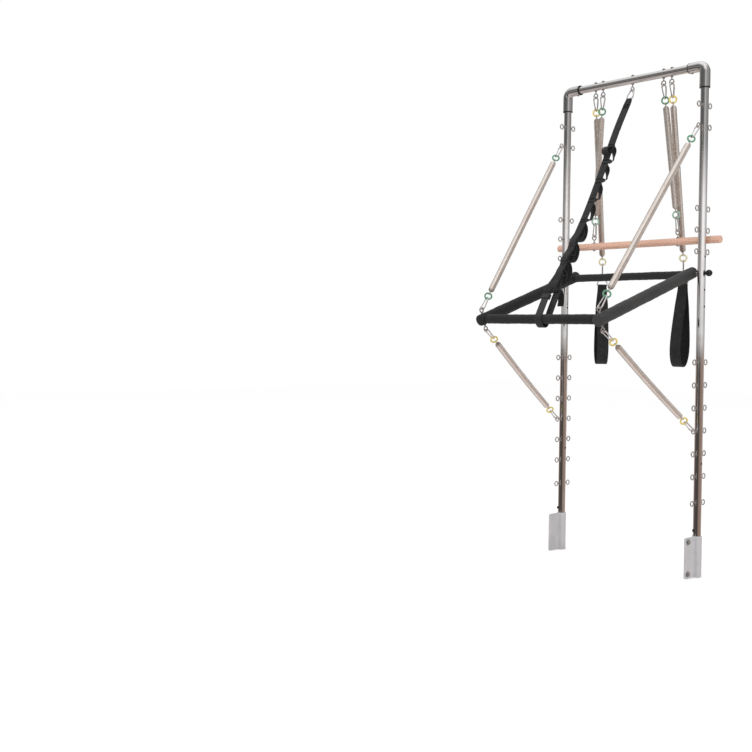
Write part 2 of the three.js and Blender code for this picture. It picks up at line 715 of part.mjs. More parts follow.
// A snap hook with a dee below it that carries the webbing
function makeDeeSnap(name, snapTop, snapAcross, deeAcross) {
  const down = axisZ.clone().negate();
  const link = tubeThrough(snapPoints(snapTop, down, snapAcross), snapWireRadius, snapSides, true);
  const linkFoot = snapTop.z - snapLength + 2 * snapWireRadius;
  const deeTop = linkFoot - 2 * snapWireRadius;
  const deeFoot = deeTop - deeHeight;
  const outline = [[-deeHalfWidth, deeFoot], [deeHalfWidth, deeFoot], [deeHalfWidth, deeFoot + deeSide],
    [deeHalfTop, deeTop], [-deeHalfTop, deeTop], [-deeHalfWidth, deeFoot + deeSide]];
  const points = outline.map(([wide, height]) => {
    const place = new THREE.Vector3(snapTop.x, snapTop.y, height);
    return place.addScaledVector(deeAcross, wide);
  });
  const dee = tubeThrough(points, snapWireRadius, snapSides, true);
  const neckTop = new THREE.Vector3(snapTop.x, snapTop.y, linkFoot);
  const neckFoot = new THREE.Vector3(snapTop.x, snapTop.y, deeTop);
  const neck = rodBetween(neckFoot, neckTop, deeNeckRadius, rodSides);
  addPiece(name, toGeometry(joinAll([link, dee, neck])), steel);
  return new THREE.Vector3(snapTop.x, snapTop.y, deeFoot);
}

// Half of a hanging loop's outline: [half width, distance below the top]
function loopSide(topRadius, halfOpening, length) {
  const points = [];
  const widest = length * loopWidestShare;
  for (let step = 0; step <= loopSideSteps; step += 1) {
    const share = step / loopSideSteps;
    const ease = share * share * (3 - 2 * share);
    points.push([topRadius + (halfOpening - topRadius) * ease, topRadius + (widest - topRadius) * share]);
  }
  for (let step = 1; step <= loopBottomSteps; step += 1) {
    const angle = (Math.PI / 2) * (step / loopBottomSteps);
    points.push([halfOpening * Math.cos(angle), widest + (length - widest) * Math.sin(angle)]);
  }
  return points;
}

function loopOutline(topRadius, halfOpening, length, drop) {
  const shoulder = [topRadius * Math.SQRT1_2, topRadius * (1 - Math.SQRT1_2)];
  const far = [shoulder, ...loopSide(topRadius, halfOpening, length)];
  const near = far.map(([wide, down]) => [-wide, down]);
  const outline = [[0, 0], ...near, ...far.slice(0, -1).reverse()];
  return outline.map(([wide, down]) => new THREE.Vector2(wide, -down - drop));
}

function makeWebbingLoop(name, deeFoot, bandAcross) {
  const innerTop = snapWireRadius + loopSlack;
  const outerTop = innerTop + loopThickness;
  const innerLength = loopLength - 2 * loopThickness;
  const outer = new THREE.Shape(loopOutline(outerTop, loopOpening / 2, loopLength, 0));
  const innerOpening = loopOpening / 2 - loopThickness;
  outer.holes.push(new THREE.Path(loopOutline(innerTop, innerOpening, innerLength, loopThickness)));
  const spread = new THREE.Vector3().crossVectors(bandAcross, axisZ).negate();
  const centre = deeFoot.clone().addScaledVector(axisZ, outerTop);
  const band = toSolid(thickOutline(outer, loopWidth, spread, axisZ, centre));
  const wedges = [-1, 1].map((side) => {
    const half = loopWidth / 2 + cutOverrun;
    const wedge = new THREE.Shape([[loopNeckWidth / 2, cutOverrun], [loopNeckWidth / 2, -outerTop],
      [loopWidth / 2, -loopLength * loopNeckShare], [half, -loopLength * loopNeckShare], [half, cutOverrun]]
      .map(([wide, height]) => new THREE.Vector2(side * wide, height)));
    return thickOutline(wedge, loopOpening, bandAcross, axisZ, centre);
  });
  addPiece(name, toGeometry(cutAll(band, wedges)), webbing);
}

function makeArmSprings() {
  const sets = [['left', -1, leftLoopTurn, leftArmSplay], ['right', 1, rightLoopTurn, rightArmSplay]];
  for (const [word, side, loopTurn, splay] of sets) {
    const top = new THREE.Vector3(side * outerEyeOffset, 0, crossbarEyeHeight);
    const direction = armSpringDirection(side, splay);
    const name = `${word}_arm`;
    const wide = axisY.clone().addScaledVector(direction, -axisY.dot(direction)).normalize();
    const enter = top.clone().addScaledVector(direction, snapEnterDistance);
    makeSnap(`${name}_upper_snap`, enter, direction, wide);
    const upperRing = top.clone().addScaledVector(direction, ringCentreDistance);
    makeRing(`${name}_upper_ring`, upperRing, wide, yellowCoat);
    const springLength = armCoilLength + 2 * neckLength;
    makeSpring(`${name}_spring`, top.clone().addScaledVector(direction, springStartDistance), direction,
      springLength);
    const lowerDistance = 2 * springStartDistance + springLength - ringCentreDistance;
    const lowerRing = top.clone().addScaledVector(direction, lowerDistance);
    makeRing(`${name}_lower_ring`, lowerRing, wide, yellowCoat);
    const ringFoot = lowerRing.clone().addScaledVector(direction, ringFlatRadius);
    const snapTop = ringFoot.clone().addScaledVector(axisZ, ringWireRadius + linkGap + snapWireRadius);
    const deeAcross = turnedAcross(loopTurn);
    const deeFoot = makeDeeSnap(`${name}_loop_snap`, snapTop, turnedAcross(-armSnapTurn), deeAcross);
    makeWebbingLoop(`${name}_loop`, deeFoot, deeAcross);
  }
}

// Safety strap: a daisy-chained tape from the crossbar's middle eye to the push-through bar.
// Its route runs from the snap hook to where the two legs part, as [Y, drop below the crossbar].
const strapDrops = [[-29, 99], [-92, 204], [-152, 320], [-222, 459], [-292, 588], [-364, 702],
  [-426, 794], [-466, 868], [-484, 908]];
const strapRoute = strapDrops.map(([depth, drop]) => [depth, crossbarHeight - drop]);
const daisyShares = [0.27, 0.375, 0.48, 0.6, 0.71, 0.82];
const frontDaisyShare = 0.25;

function routeAt(share) {
  const lengths = [0];
  for (let index = 1; index < strapRoute.length; index += 1) {
    const [y0, z0] = strapRoute[index - 1];
    const [y1, z1] = strapRoute[index];
    lengths.push(lengths[index - 1] + Math.hypot(y1 - y0, z1 - z0));
  }
  const target = share * lengths[lengths.length - 1];
  let index = 1;
  while (index < lengths.length - 1 && lengths[index] < target) index += 1;
  const [y0, z0] = strapRoute[index - 1];
  const [y1, z1] = strapRoute[index];
  const part = (target - lengths[index - 1]) / (lengths[index] - lengths[index - 1]);
  const along = new THREE.Vector2(y1 - y0, z1 - z0).normalize();
  return { place: new THREE.Vector2(y0 + (y1 - y0) * part, z0 + (z1 - z0) * part), along };
}

function tapeShape(points, thickness) {
  const sides = [[], []];
  points.forEach((point, index) => {
    const before = points[Math.max(index - 1, 0)];
    const after = points[Math.min(index + 1, points.length - 1)];
    const along = new THREE.Vector2(after[0] - before[0], after[1] - before[1]).normalize();
    const across = new THREE.Vector2(-along.y, along.x).multiplyScalar(thickness / 2);
    sides[0].push(new THREE.Vector2(point[0] + across.x, point[1] + across.y));
    sides[1].push(new THREE.Vector2(point[0] - across.x, point[1] - across.y));
  });
  return new THREE.Shape([...sides[0], ...sides[1].reverse()]);
}

// A daisy loop standing off the tape, on the back for side 1 and on the front for side -1
function daisyShape(share, side) {
  const { place, along } = routeAt(share);
  const out = new THREE.Vector2(-along.y, along.x).multiplyScalar(side);
  const arc = (halfLength, bulge) => {
    const points = [];
    for (let step = 0; step <= daisySteps; step += 1) {
      const angle = (Math.PI * step) / daisySteps;
      const forward = -halfLength * Math.cos(angle);
      const point = place.clone().addScaledVector(along, forward);
      points.push(point.addScaledVector(out, bulge * Math.sin(angle)));
    }
    return points;
  };
  const outer = arc(daisyHalfLength, daisyBulge);
  const inner = arc(daisyHalfLength - tapeThickness * 2, daisyBulge - tapeThickness);
  return new THREE.Shape([...outer, ...inner.reverse()]);
}

// A leg: a band from the fork down round the front bar
function legShape() {
  const centre = new THREE.Vector2(frontBarCentre.y, frontBarCentre.z);
  const fork = new THREE.Vector2(...strapRoute[strapRoute.length - 1]);
  const reach = fork.clone().sub(centre);
  const towards = reach.angle();
  const innerRadius = frontFoamRadius + seatGap;
  const half = Math.acos(innerRadius / reach.length());
  const outline = (radius) => {
    const apex = centre.clone().addScaledVector(reach, radius / innerRadius);
    const points = [apex];
    for (let step = 0; step <= frameSides; step += 1) {
      const angle = towards + half + (2 * Math.PI - 2 * half) * (step / frameSides);
      const [across, up] = [radius * Math.cos(angle), radius * Math.sin(angle)];
      points.push(new THREE.Vector2(centre.x + across, centre.y + up));
    }
    return points;
  };
  const facetedRadius = innerRadius / Math.cos(Math.PI / frameSides);
  const shape = new THREE.Shape(outline(facetedRadius + tapeThickness));
  shape.holes.push(new THREE.Path(outline(facetedRadius)));
  return shape;
}

// The tape's crossing under the bar, from one leg to the other
function underBarShape() {
  const centre = new THREE.Vector2(frontBarCentre.y, frontBarCentre.z);
  const innerRadius = (frontFoamRadius + seatGap) / Math.cos(Math.PI / tubeSides);
  const points = [];
  const arcs = [[innerRadius + tapeThickness, 1], [innerRadius, -1]];
  for (const [radius, way] of arcs) {
    for (let step = 0; step <= daisySteps; step += 1) {
      const turn = (way * (step / daisySteps - 1 / 2) * Math.PI) / 2;
      const angle = -Math.PI / 2 + turn;
      const [across, up] = [radius * Math.cos(angle), radius * Math.sin(angle)];
      points.push(new THREE.Vector2(centre.x + across, centre.y + up));
    }
  }
  return new THREE.Shape(points);
}

function makeStrap() {
  const eye = new THREE.Vector3(0, 0, crossbarEyeHeight);
  const routeTop = new THREE.Vector3(0, ...strapRoute[0]);
  const direction = routeTop.clone().sub(eye).normalize();
  makeSnap('strap_snap', eye.clone().addScaledVector(direction, snapEnterDistance), direction, axisX);
  const hookEnd = eye.clone().addScaledVector(direction, snapLeaveDistance);
  const route = [...strapRoute];
  const foldRadius = strapEyeRadius + tapeThickness;
  const middle = new THREE.Vector3();
  const flat = (shape, width, offset) => {
    const body = thickOutline(shape, width, axisY, axisZ, middle);
    return body.translate(offset, 0, 0);
  };
  const firstBelow = hookEnd.clone().addScaledVector(direction, foldRadius - tapeThickness / 2);
  route[0] = [firstBelow.y, firstBelow.z];
  const foldCircle = (radius) => Array.from({ length: tubeSides }, (unused, index) => {
    const angle = (2 * Math.PI * index) / tubeSides;
    return new THREE.Vector2(hookEnd.y + radius * Math.cos(angle), hookEnd.z + radius * Math.sin(angle));
  });
  const fold = new THREE.Shape(foldCircle(foldRadius));
  fold.holes.push(new THREE.Path(foldCircle(foldRadius - tapeThickness)));
  const pieces = [flat(tapeShape(route, strapThickness), strapWidth, 0), flat(fold, strapEyeWidth, 0)];
  daisyShares.forEach((share) => pieces.push(flat(daisyShape(share, 1), strapWidth, 0)));
  pieces.push(flat(daisyShape(frontDaisyShare, -1), strapWidth, 0));
  const fork = strapRoute[strapRoute.length - 1];
  const drop = fork[1] - frontBarCentre.z;
  for (const word of ['left', 'right']) {
    const leg = flat(legShape(), strapWidth, 0);
    const lean = (strapLegTopOffsets[word] - strapLegBarOffsets[word]) / drop;
    leg.translate(0, 0, -frontBarCentre.z);
    leg.applyMatrix4(new THREE.Matrix4().set(1, 0, lean, strapLegBarOffsets[word], 0, 1, 0, 0, 0, 0, 1, 0,
      0, 0, 0, 1));
    pieces.push(leg.translate(0, 0, frontBarCentre.z));
  }
  const crossing = strapLegBarOffsets.right - strapLegBarOffsets.left;
  const crossingMiddle = (strapLegBarOffsets.right + strapLegBarOffsets.left) / 2;
  pieces.push(flat(underBarShape(), crossing, crossingMiddle));
  const tail = [fork, [fork[0] + strapTailTilt + strapWidth, fork[1] + strapTailTilt],
    [fork[0] + strapTailTilt + strapWidth + strapTailTilt, fork[1] - strapTailLength]];
  pieces.push(flat(tapeShape(tail, tapeThickness), strapWidth, strapLegTopOffsets.right));
  addPiece('safety_strap', toGeometry(joinAll(pieces)), webbing);
}

for (const [word, side] of [['left', -1], ['right', 1]]) {
  makePost(`${word}_post`, side);
  makeSocket(`${word}_socket`, side);
  makeElbow(`${word}_elbow`, side);
  makePivotPin(`${word}_pivot_pin`, side);
}
makeCrossbar();
makePushFrame();
makeFoam();
makeRollBar();
makePushSprings();
makeRollDownSprings();
makeArmSprings();
makeStrap();

export default tower;
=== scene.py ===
import math

import bmesh
import bpy
import numpy as np
from mathutils import Matrix, Vector


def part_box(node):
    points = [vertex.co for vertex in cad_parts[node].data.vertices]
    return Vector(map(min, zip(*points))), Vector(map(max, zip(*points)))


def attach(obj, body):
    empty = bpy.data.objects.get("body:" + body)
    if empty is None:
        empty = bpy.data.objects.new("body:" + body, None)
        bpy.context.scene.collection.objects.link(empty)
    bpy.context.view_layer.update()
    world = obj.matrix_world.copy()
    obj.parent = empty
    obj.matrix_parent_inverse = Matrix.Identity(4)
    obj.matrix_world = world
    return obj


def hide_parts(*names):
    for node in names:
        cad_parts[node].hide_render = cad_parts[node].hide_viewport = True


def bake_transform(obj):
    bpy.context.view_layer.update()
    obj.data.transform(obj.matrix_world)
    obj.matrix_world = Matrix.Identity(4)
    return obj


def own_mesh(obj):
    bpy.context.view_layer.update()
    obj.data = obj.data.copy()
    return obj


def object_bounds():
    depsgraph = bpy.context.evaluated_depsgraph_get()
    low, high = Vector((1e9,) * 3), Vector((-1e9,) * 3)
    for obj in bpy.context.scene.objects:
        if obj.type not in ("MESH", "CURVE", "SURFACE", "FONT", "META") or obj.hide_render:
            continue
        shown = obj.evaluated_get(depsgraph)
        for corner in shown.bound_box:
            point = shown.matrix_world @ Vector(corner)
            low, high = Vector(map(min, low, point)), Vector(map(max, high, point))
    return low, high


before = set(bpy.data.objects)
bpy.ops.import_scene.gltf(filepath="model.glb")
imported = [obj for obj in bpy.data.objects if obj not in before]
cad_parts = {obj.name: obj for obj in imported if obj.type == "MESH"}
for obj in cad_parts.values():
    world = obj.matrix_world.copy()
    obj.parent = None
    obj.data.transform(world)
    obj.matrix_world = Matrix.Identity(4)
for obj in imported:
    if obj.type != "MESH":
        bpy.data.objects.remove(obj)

cad_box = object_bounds()

# The camera stands in front of the right post at chest height and looks along the
# tower's diagonal. Its lens and small shift frame the tower as the photograph does.
camera_place = Vector((2.8678, -3.8284, 0.976))
camera_yaw = math.radians(49.74)
camera_pitch = math.radians(0.93)
camera_roll = math.radians(0.75)
picture_height = 752
picture_rise = 29.4
forward = Vector((
    -math.sin(camera_yaw) * math.cos(camera_pitch),
    math.cos(camera_yaw) * math.cos(camera_pitch),
    -math.sin(camera_pitch)))
level = Vector((math.cos(camera_yaw), math.sin(camera_yaw), 0))
upright = level.cross(forward)
camera_right = level * math.cos(camera_roll) + upright * math.sin(camera_roll)
camera_up = upright * math.cos(camera_roll) - level * math.sin(camera_roll)
camera = bpy.data.objects.new("camera", bpy.data.cameras.new("camera"))
bpy.context.scene.collection.objects.link(camera)
camera_matrix = Matrix((camera_right, camera_up, -forward)).transposed().to_4x4()
camera_matrix.translation = camera_place
camera.matrix_world = camera_matrix
camera.data.sensor_width = 36
camera.data.lens = 52.67
camera.data.shift_x = -0.0003
camera.data.shift_y = -picture_rise / picture_height
camera.data.clip_end = 100
bpy.context.scene.camera = camera
bpy.context.scene.view_settings.view_transform = "Standard"

# The studio: a white surround for the camera, soft plain light on the tower, and a room
# that only polished metal mirrors. Its bands run round it from the camera's bearing: the
# floor underfoot, the floor further off, the walls low and high, and the ceiling.
low_walls = [
    (0.00, 0.50), (0.12, 0.50), (0.19, 0.36), (0.30, 0.40), (0.36, 0.55), (0.46, 0.62), (0.50, 0.74),
    (0.62, 0.78), (0.70, 0.62), (0.80, 0.44), (0.90, 0.40), (1.00, 0.50)]
mid_walls = [
    (0.00, 0.45), (0.12, 0.45), (0.19, 0.28), (0.30, 0.25), (0.36, 0.34), (0.43, 0.50), (0.49, 1.00),
    (0.62, 1.00), (0.70, 0.66), (0.80, 0.40), (0.90, 0.36), (1.00, 0.45)]
high_walls = [
    (0.00, 0.40), (0.14, 0.38), (0.19, 0.13), (0.30, 0.10), (0.43, 0.12), (0.48, 0.20), (0.52, 0.48),
    (0.57, 0.48), (0.60, 0.31), (0.76, 0.28), (0.80, 0.14), (0.87, 0.16), (0.91, 0.36), (1.00, 0.40)]
ceiling = [
    (0.00, 0.62), (0.24, 0.60), (0.29, 0.28), (0.43, 0.30), (0.48, 0.95), (0.58, 0.95), (0.63, 0.34),
    (0.90, 0.36), (0.96, 0.60), (1.00, 0.62)]
floor_near = [
    (0.00, (0.45, 0.37, 0.34)), (0.16, (0.42, 0.34, 0.31)), (0.22, (0.09, 0.078, 0.07)),
    (0.50, (0.055, 0.05, 0.045)), (0.55, (0.24, 0.175, 0.145)), (0.76, (0.32, 0.24, 0.20)),
    (0.86, (0.50, 0.43, 0.40)), (1.00, (0.45, 0.37, 0.34))]
floor_under = [
    (0.00, (0.44, 0.40, 0.39)), (0.44, (0.40, 0.36, 0.35)), (0.49, (0.80, 0.76, 0.74)),
    (0.60, (0.80, 0.76, 0.74)), (0.66, (0.40, 0.36, 0.35)), (1.00, (0.44, 0.40, 0.39))]
underfoot = [(0.00, (0.76, 0.71, 0.69)), (1.00, (0.76, 0.71, 0.69))]
overhead = [(0.00, 0.96), (1.00, 0.96)]
mirrored_bands = [
    (None, underfoot), ((-0.92, -0.72), floor_under), ((-0.60, -0.28), floor_near),
    ((-0.020, -0.008), low_walls), ((0.02, 0.07), mid_walls), ((0.115, 0.165), high_walls),
    ((0.30, 0.62), ceiling), ((0.70, 0.90), overhead)]
plain_light = 0.78


def output_of(source):
    return source.outputs[0] if isinstance(source, bpy.types.Node) else source


def add_node(tree, kind, **settings):
    """A new shader node. in_NAME or in_NUMBER gives an input its value, or what it is linked to."""
    node = tree.nodes.new(kind if kind.startswith("NodeGroup") else "ShaderNode" + kind)
    for name, value in settings.items():
        if not name.startswith("in_"):
            setattr(node, name, value)
            continue
        key = name[3:]
        socket = node.inputs[int(key) if key.isdigit() else key.replace("_", " ")]
        if isinstance(value, (bpy.types.Node, bpy.types.NodeSocket)):
            tree.links.new(output_of(value), socket)
        else:
            socket.default_value = value
    return node


def work_out(tree, operation, *numbers):
    """A sum on plain numbers and on what other nodes give out."""
    inputs = {f"in_{index}": value for index, value in enumerate(numbers)}
    return add_node(tree, "Math", operation=operation, **inputs)


def rescale(tree, source, low=0, high=1, new_low=0, new_high=1):
    """What runs from low to high, made to run from new_low to new_high."""
    return add_node(tree, "MapRange", in_0=source, in_1=low, in_2=high, in_3=new_low, in_4=new_high)


def mix_colours(tree, share, first, second, blend="MIX"):
    mixed = add_node(tree, "Mix", data_type="RGBA", blend_type=blend, in_0=share, in_6=first, in_7=second)
    return mixed.outputs[2]


def colour_ramp(tree, source, stops):
    """A ramp through (place, colour) stops."""
    ramp = add_node(tree, "ValToRGB", in_0=source)
    elements = ramp.color_ramp.elements
    while len(elements) > 1:
        elements.remove(elements[-1])
    elements[0].position, elements[0].color = stops[0]
    for place, colour in stops[1:]:
        elements.new(place).color = colour
    return ramp


def grey(value):
    return (value, value, value, 1)


studio = bpy.data.worlds.new("studio")
bpy.context.scene.world = studio
studio.use_nodes = True
tree = studio.node_tree
tree.nodes.clear()
ray = add_node(tree, "TexCoord")
split = add_node(tree, "SeparateXYZ", in_0=ray.outputs["Generated"])
bearing = work_out(tree, "ARCTAN2", split.outputs["Y"], split.outputs["X"])
from_camera = math.atan2(camera_place.y, camera_place.x)
turned_bearing = work_out(tree, "SUBTRACT", bearing, from_camera - math.pi)
whole_turns = work_out(tree, "DIVIDE", turned_bearing, 2 * math.pi)
share = work_out(tree, "FLOORED_MODULO", whole_turns, 1)
mirrored = None
for rise, stops in mirrored_bands:
    shades = [(place, (*value, 1) if isinstance(value, tuple) else grey(value)) for place, value in stops]
    ramp = colour_ramp(tree, share, shades)
    if mirrored is None:
        mirrored = ramp.outputs[0]
        continue
    height = rescale(tree, split.outputs["Z"], rise[0], rise[1])
    mirrored = mix_colours(tree, height, mirrored, ramp)
path = add_node(tree, "LightPath")
shiny = work_out(tree, "MAXIMUM", path.outputs["Is Glossy Ray"], path.outputs["Is Transmission Ray"])
lit = mix_colours(tree, shiny, grey(plain_light), mirrored)
seen = mix_colours(tree, path.outputs["Is Camera Ray"], lit, grey(1))
background = add_node(tree, "Background", in_Color=seen)
add_node(tree, "OutputWorld", in_0=background)


def hang_lamp(name, place, aim, size, power):
    lamp = bpy.data.lights.new(name, "AREA")
    lamp.shape = "DISK"
    lamp.size = size
    lamp.energy = power
    hung = bpy.data.objects.new(name, lamp)
    bpy.context.scene.collection.objects.link(hung)
    hung.location = place
    hung.rotation_euler = (Vector(aim) - Vector(place)).to_track_quat("-Z", "Y").to_euler()
    hung.visible_glossy = False


hang_lamp("key_lamp", (-1.5, -4.2, 4.2), (0, 0, 1.2), 2.5, 90)
hang_lamp("fill_lamp", (4.5, -1.0, 2.6), (0, 0, 1.2), 3.0, 45)

# The floor: a plain white sheet just under the sockets. It takes the tower's soft
# shadow and otherwise shows as white as the surround.
floor_drop = 0.002
floor_half = 12.0
floor_mesh = bpy.data.meshes.new("studio_floor")
floor_mesh.from_pydata(
    [(x * floor_half, y * floor_half, cad_box[0][2] - floor_drop)
     for x, y in ((-1, -1), (1, -1), (1, 1), (-1, 1))], [], [(0, 1, 2, 3)])
studio_floor = bpy.data.objects.new("studio_floor", floor_mesh)
bpy.context.scene.collection.objects.link(studio_floor)
floor_finish = bpy.data.materials.new("studio_floor")
floor_finish.use_nodes = True
tree = floor_finish.node_tree
tree.nodes.clear()
path = add_node(tree, "LightPath")
matt = add_node(tree, "BsdfDiffuse", in_Color=grey(0.80))
glow = add_node(tree, "Emission", in_Strength=0.36)
both = add_node(tree, "AddShader", in_0=matt, in_1=glow)
clear = add_node(tree, "BsdfTransparent")
shiny = work_out(tree, "MAXIMUM", path.outputs["Is Glossy Ray"], path.outputs["Is Transmission Ray"])
for_metal = add_node(tree, "MixShader", in_0=shiny, in_1=matt, in_2=clear)
for_camera = add_node(tree, "MixShader", in_0=path.outputs["Is Camera Ray"], in_1=for_metal, in_2=both)
add_node(tree, "OutputMaterial", in_0=for_camera)
floor_mesh.materials.append(floor_finish)

# Sockets: a bright plated steel sleeve for each post's foot, welded to an upright plate
# that two hexagon bolts hold to the bed's side rail.
socket_outer = 0.020
socket_bore = 0.0163
socket_height = 0.163
socket_floor = 0.004
socket_lip = 0.0012
plate_reach = 0.083
plate_thickness = 0.006
plate_corner = 0.006
plate_edge = 0.0008
weld_radius = 0.0032
socket_bolt_inset = 0.018
bolt_washer_radius = 0.0115
bolt_washer_height = 0.0015
bolt_head_radius = 0.009
bolt_head_height = 0.0055
post_x = 0.350
axis_x, axis_y, axis_z = Vector((1, 0, 0)), Vector((0, 1, 0)), Vector((0, 0, 1))
sides_words = [("left", -1), ("right", 1)]


def frame_along(direction):
    """Two directions square to this one and to each other."""
    direction = Vector(direction).normalized()
    helper = axis_x if abs(direction.x) < 0.9 else axis_y
    first = helper.cross(direction).normalized()
    return first, direction.cross(first).normalized()


def headings(route, closed=False):
    """The direction of a route at each of its points."""
    ways = np.roll(route, -1, 0) - np.roll(route, 1, 0) if closed else np.gradient(route, axis=0)
    return ways / np.linalg.norm(ways, axis=1, keepdims=True)


def swept_faces(count, sides, closed=False):
    """The faces between the rings of a swept body, and its two end faces unless it is closed."""
    faces = []
    for step in range(count if closed else count - 1):
        here, there = step * sides, ((step + 1) % count) * sides
        for corner in range(sides):
            after = (corner + 1) % sides
            faces.append((here + corner, here + after, there + after, there + corner))
    if not closed:
        faces.append(tuple(range(sides))[::-1])
        faces.append(tuple(range((count - 1) * sides, count * sides)))
    return faces


def disc(radius, low, high):
    """The profile of a plain disc or pin, for turned."""
    return [(0, low), (radius, low), (radius, high), (0, high)]


def turned(profile, start, direction, sides=40, ring=False):
    """A body turned about a line, from (radius, distance) points; ring joins last to first."""
    first, second = frame_along(direction)
    direction = Vector(direction).normalized()
    points, rows, faces = [], [], []
    for radius, distance in profile:
        centre = Vector(start) + direction * distance
        if radius < 1e-7:
            rows.append([len(points)])
            points.append(centre)
            continue
        rows.append(list(range(len(points), len(points) + sides)))
        for index in range(sides):
            angle = 2 * math.pi * index / sides
            points.append(centre + first * (radius * math.cos(angle)) + second * (radius * math.sin(angle)))
    pairs = list(zip(rows, rows[1:])) + ([(rows[-1], rows[0])] if ring else [])
    for low, high in pairs:
        for index in range(sides):
            after = (index + 1) % sides
            if len(low) == 1 and len(high) > 1:
                faces.append((low[0], high[after], high[index]))
            elif len(high) == 1 and len(low) > 1:
                faces.append((low[index], low[after], high[0]))
            elif len(low) > 1:
                faces.append((low[index], low[after], high[after], high[index]))
    return points, faces


def drawn(route, radius, sides=12, closed=False):
    """A round wire or bar along a route, with one radius or one for each point."""
    route = np.array([tuple(point) for point in route], float)
    count = len(route)
    radii = np.broadcast_to(np.asarray(radius, float), (count,))
    tangents = headings(route, closed)
    side = np.array(frame_along(tangents[0])[0])
    angles = 2 * math.pi * np.arange(sides) / sides
    cosines, sines = np.cos(angles)[:, None], np.sin(angles)[:, None]
    rings = []
    for index in range(count):
        tangent = tangents[index]
        side = side - tangent * side.dot(tangent)
        side /= np.linalg.norm(side)
        other = np.cross(tangent, side)
        rings.append(route[index] + radii[index] * (cosines * side + sines * other))
    return np.concatenate(rings).tolist(), swept_faces(count, sides, closed)


def ring_of(centre, axis, radius, wire, steps=40, sides=14):
    """A ring of round wire."""
    first, second = frame_along(axis)
    route = [Vector(centre) + first * (radius * math.cos(turn)) + second * (radius * math.sin(turn))
             for turn in (2 * math.pi * step / steps for step in range(steps))]
    return drawn(route, wire, sides, closed=True)


def slab(outline, origin, across, up, thickness, chamfer):
    """A flat plate from an outline of (across, up) points, its edges broken by a chamfer."""
    out = Vector(across).cross(Vector(up)).normalized()
    count = len(outline)
    middle = (sum(p[0] for p in outline) / count, sum(p[1] for p in outline) / count)
    points = []
    straight = 0.5 - chamfer / thickness
    for offset, shrink in ((-0.5, 1), (-straight, 0), (straight, 0), (0.5, 1)):
        for a, b in outline:
            reach = math.hypot(a - middle[0], b - middle[1])
            keep = 1 - shrink * chamfer / reach
            a_in = middle[0] + (a - middle[0]) * keep
            b_in = middle[1] + (b - middle[1]) * keep
            point = Vector(origin) + Vector(across) * a_in + Vector(up) * b_in
            points.append(point + out * (offset * thickness))
    faces = [tuple(range(count))[::-1], tuple(range(3 * count, 4 * count))]
    for row in range(3):
        for index in range(count):
            after = (index + 1) % count
            low, high = row * count, (row + 1) * count
            faces.append((low + index, low + after, high + after, high + index))
    return points, faces


def rounded_rectangle(left, right, low, high, corner, steps=6):
    outline = []
    for x, z, quarter in ((right - corner, high - corner, 0), (left + corner, high - corner, 1),
                          (left + corner, low + corner, 2), (right - corner, low + corner, 3)):
        for step in range(steps + 1):
            angle = math.pi / 2 * (quarter + step / steps)
            outline.append((x + corner * math.cos(angle), z + corner * math.sin(angle)))
    return outline


def make_piece(name, shapes, *finishes, crisp=40):
    """One object from shapes of (points, faces) or (points, faces, finish number)."""
    points, faces, numbers = [], [], []
    for shape in shapes:
        base = len(points)
        points.extend(tuple(point) for point in shape[0])
        faces.extend(tuple(base + index for index in face) for face in shape[1])
        number = shape[2] if len(shape) > 2 else 0
        numbers.extend(number if isinstance(number, list) else [number] * len(shape[1]))
    mesh = bpy.data.meshes.new(name)
    mesh.from_pydata(points, [], faces)
    mesh.polygons.foreach_set("material_index", numbers)
    solid = bmesh.new()
    solid.from_mesh(mesh)
    bmesh.ops.recalc_face_normals(solid, faces=solid.faces)
    solid.to_mesh(mesh)
    solid.free()
    for finish in finishes:
        mesh.materials.append(finish)
    mesh.shade_smooth()
    mesh.set_sharp_from_angle(angle=math.radians(crisp))
    piece = bpy.data.objects.new(name, mesh)
    bpy.context.scene.collection.objects.link(piece)
    return piece


def make_group(name, inputs, outputs):
    """An empty shader node group with named inputs and outputs."""
    group = bpy.data.node_groups.new(name, "ShaderNodeTree")
    for label, kind, value in inputs:
        socket = group.interface.new_socket(name=label, in_out="INPUT", socket_type=kind)
        socket.default_value = value
    for label, kind in outputs:
        group.interface.new_socket(name=label, in_out="OUTPUT", socket_type=kind)
    return group, add_node(group, "NodeGroupInput"), add_node(group, "NodeGroupOutput")


def noise(tree, place, scale, detail, roughness):
    return add_node(tree, "TexNoise", in_Vector=place, in_Scale=scale, in_Detail=detail,
                    in_Roughness=roughness)


# Handling marks on bare metal: cloudy smudges, fine polishing lines and small dulled spots
handling, marks_in, marks_out = make_group(
    "handling_marks",
    [("Bright", "NodeSocketColor", grey(0.8)), ("Dull", "NodeSocketColor", grey(0.6)),
     ("Polish", "NodeSocketFloat", 0.1), ("Smudge", "NodeSocketFloat", 0.15),
     ("Depth", "NodeSocketFloat", 0.02)],
    [("Colour", "NodeSocketColor"), ("Roughness", "NodeSocketFloat"), ("Normal", "NodeSocketVector")])
place = add_node(handling, "TexCoord")
clouds = noise(handling, place.outputs["Object"], 14, 5, 0.6)
specks = noise(handling, place.outputs["Object"], 420, 3, 0.7)
patches = rescale(handling, clouds, 0.42, 0.72)
mixed = mix_colours(handling, patches, marks_in.outputs["Bright"], marks_in.outputs["Dull"])
rougher = work_out(handling, "MULTIPLY_ADD", patches, marks_in.outputs["Smudge"], marks_in.outputs["Polish"])
scratches = add_node(handling, "Bump", in_Height=specks, in_Distance=0.0004,
                     in_Strength=marks_in.outputs["Depth"])
for label, source in (("Colour", mixed), ("Roughness", rougher), ("Normal", scratches)):
    handling.links.new(output_of(source), marks_out.inputs[label])


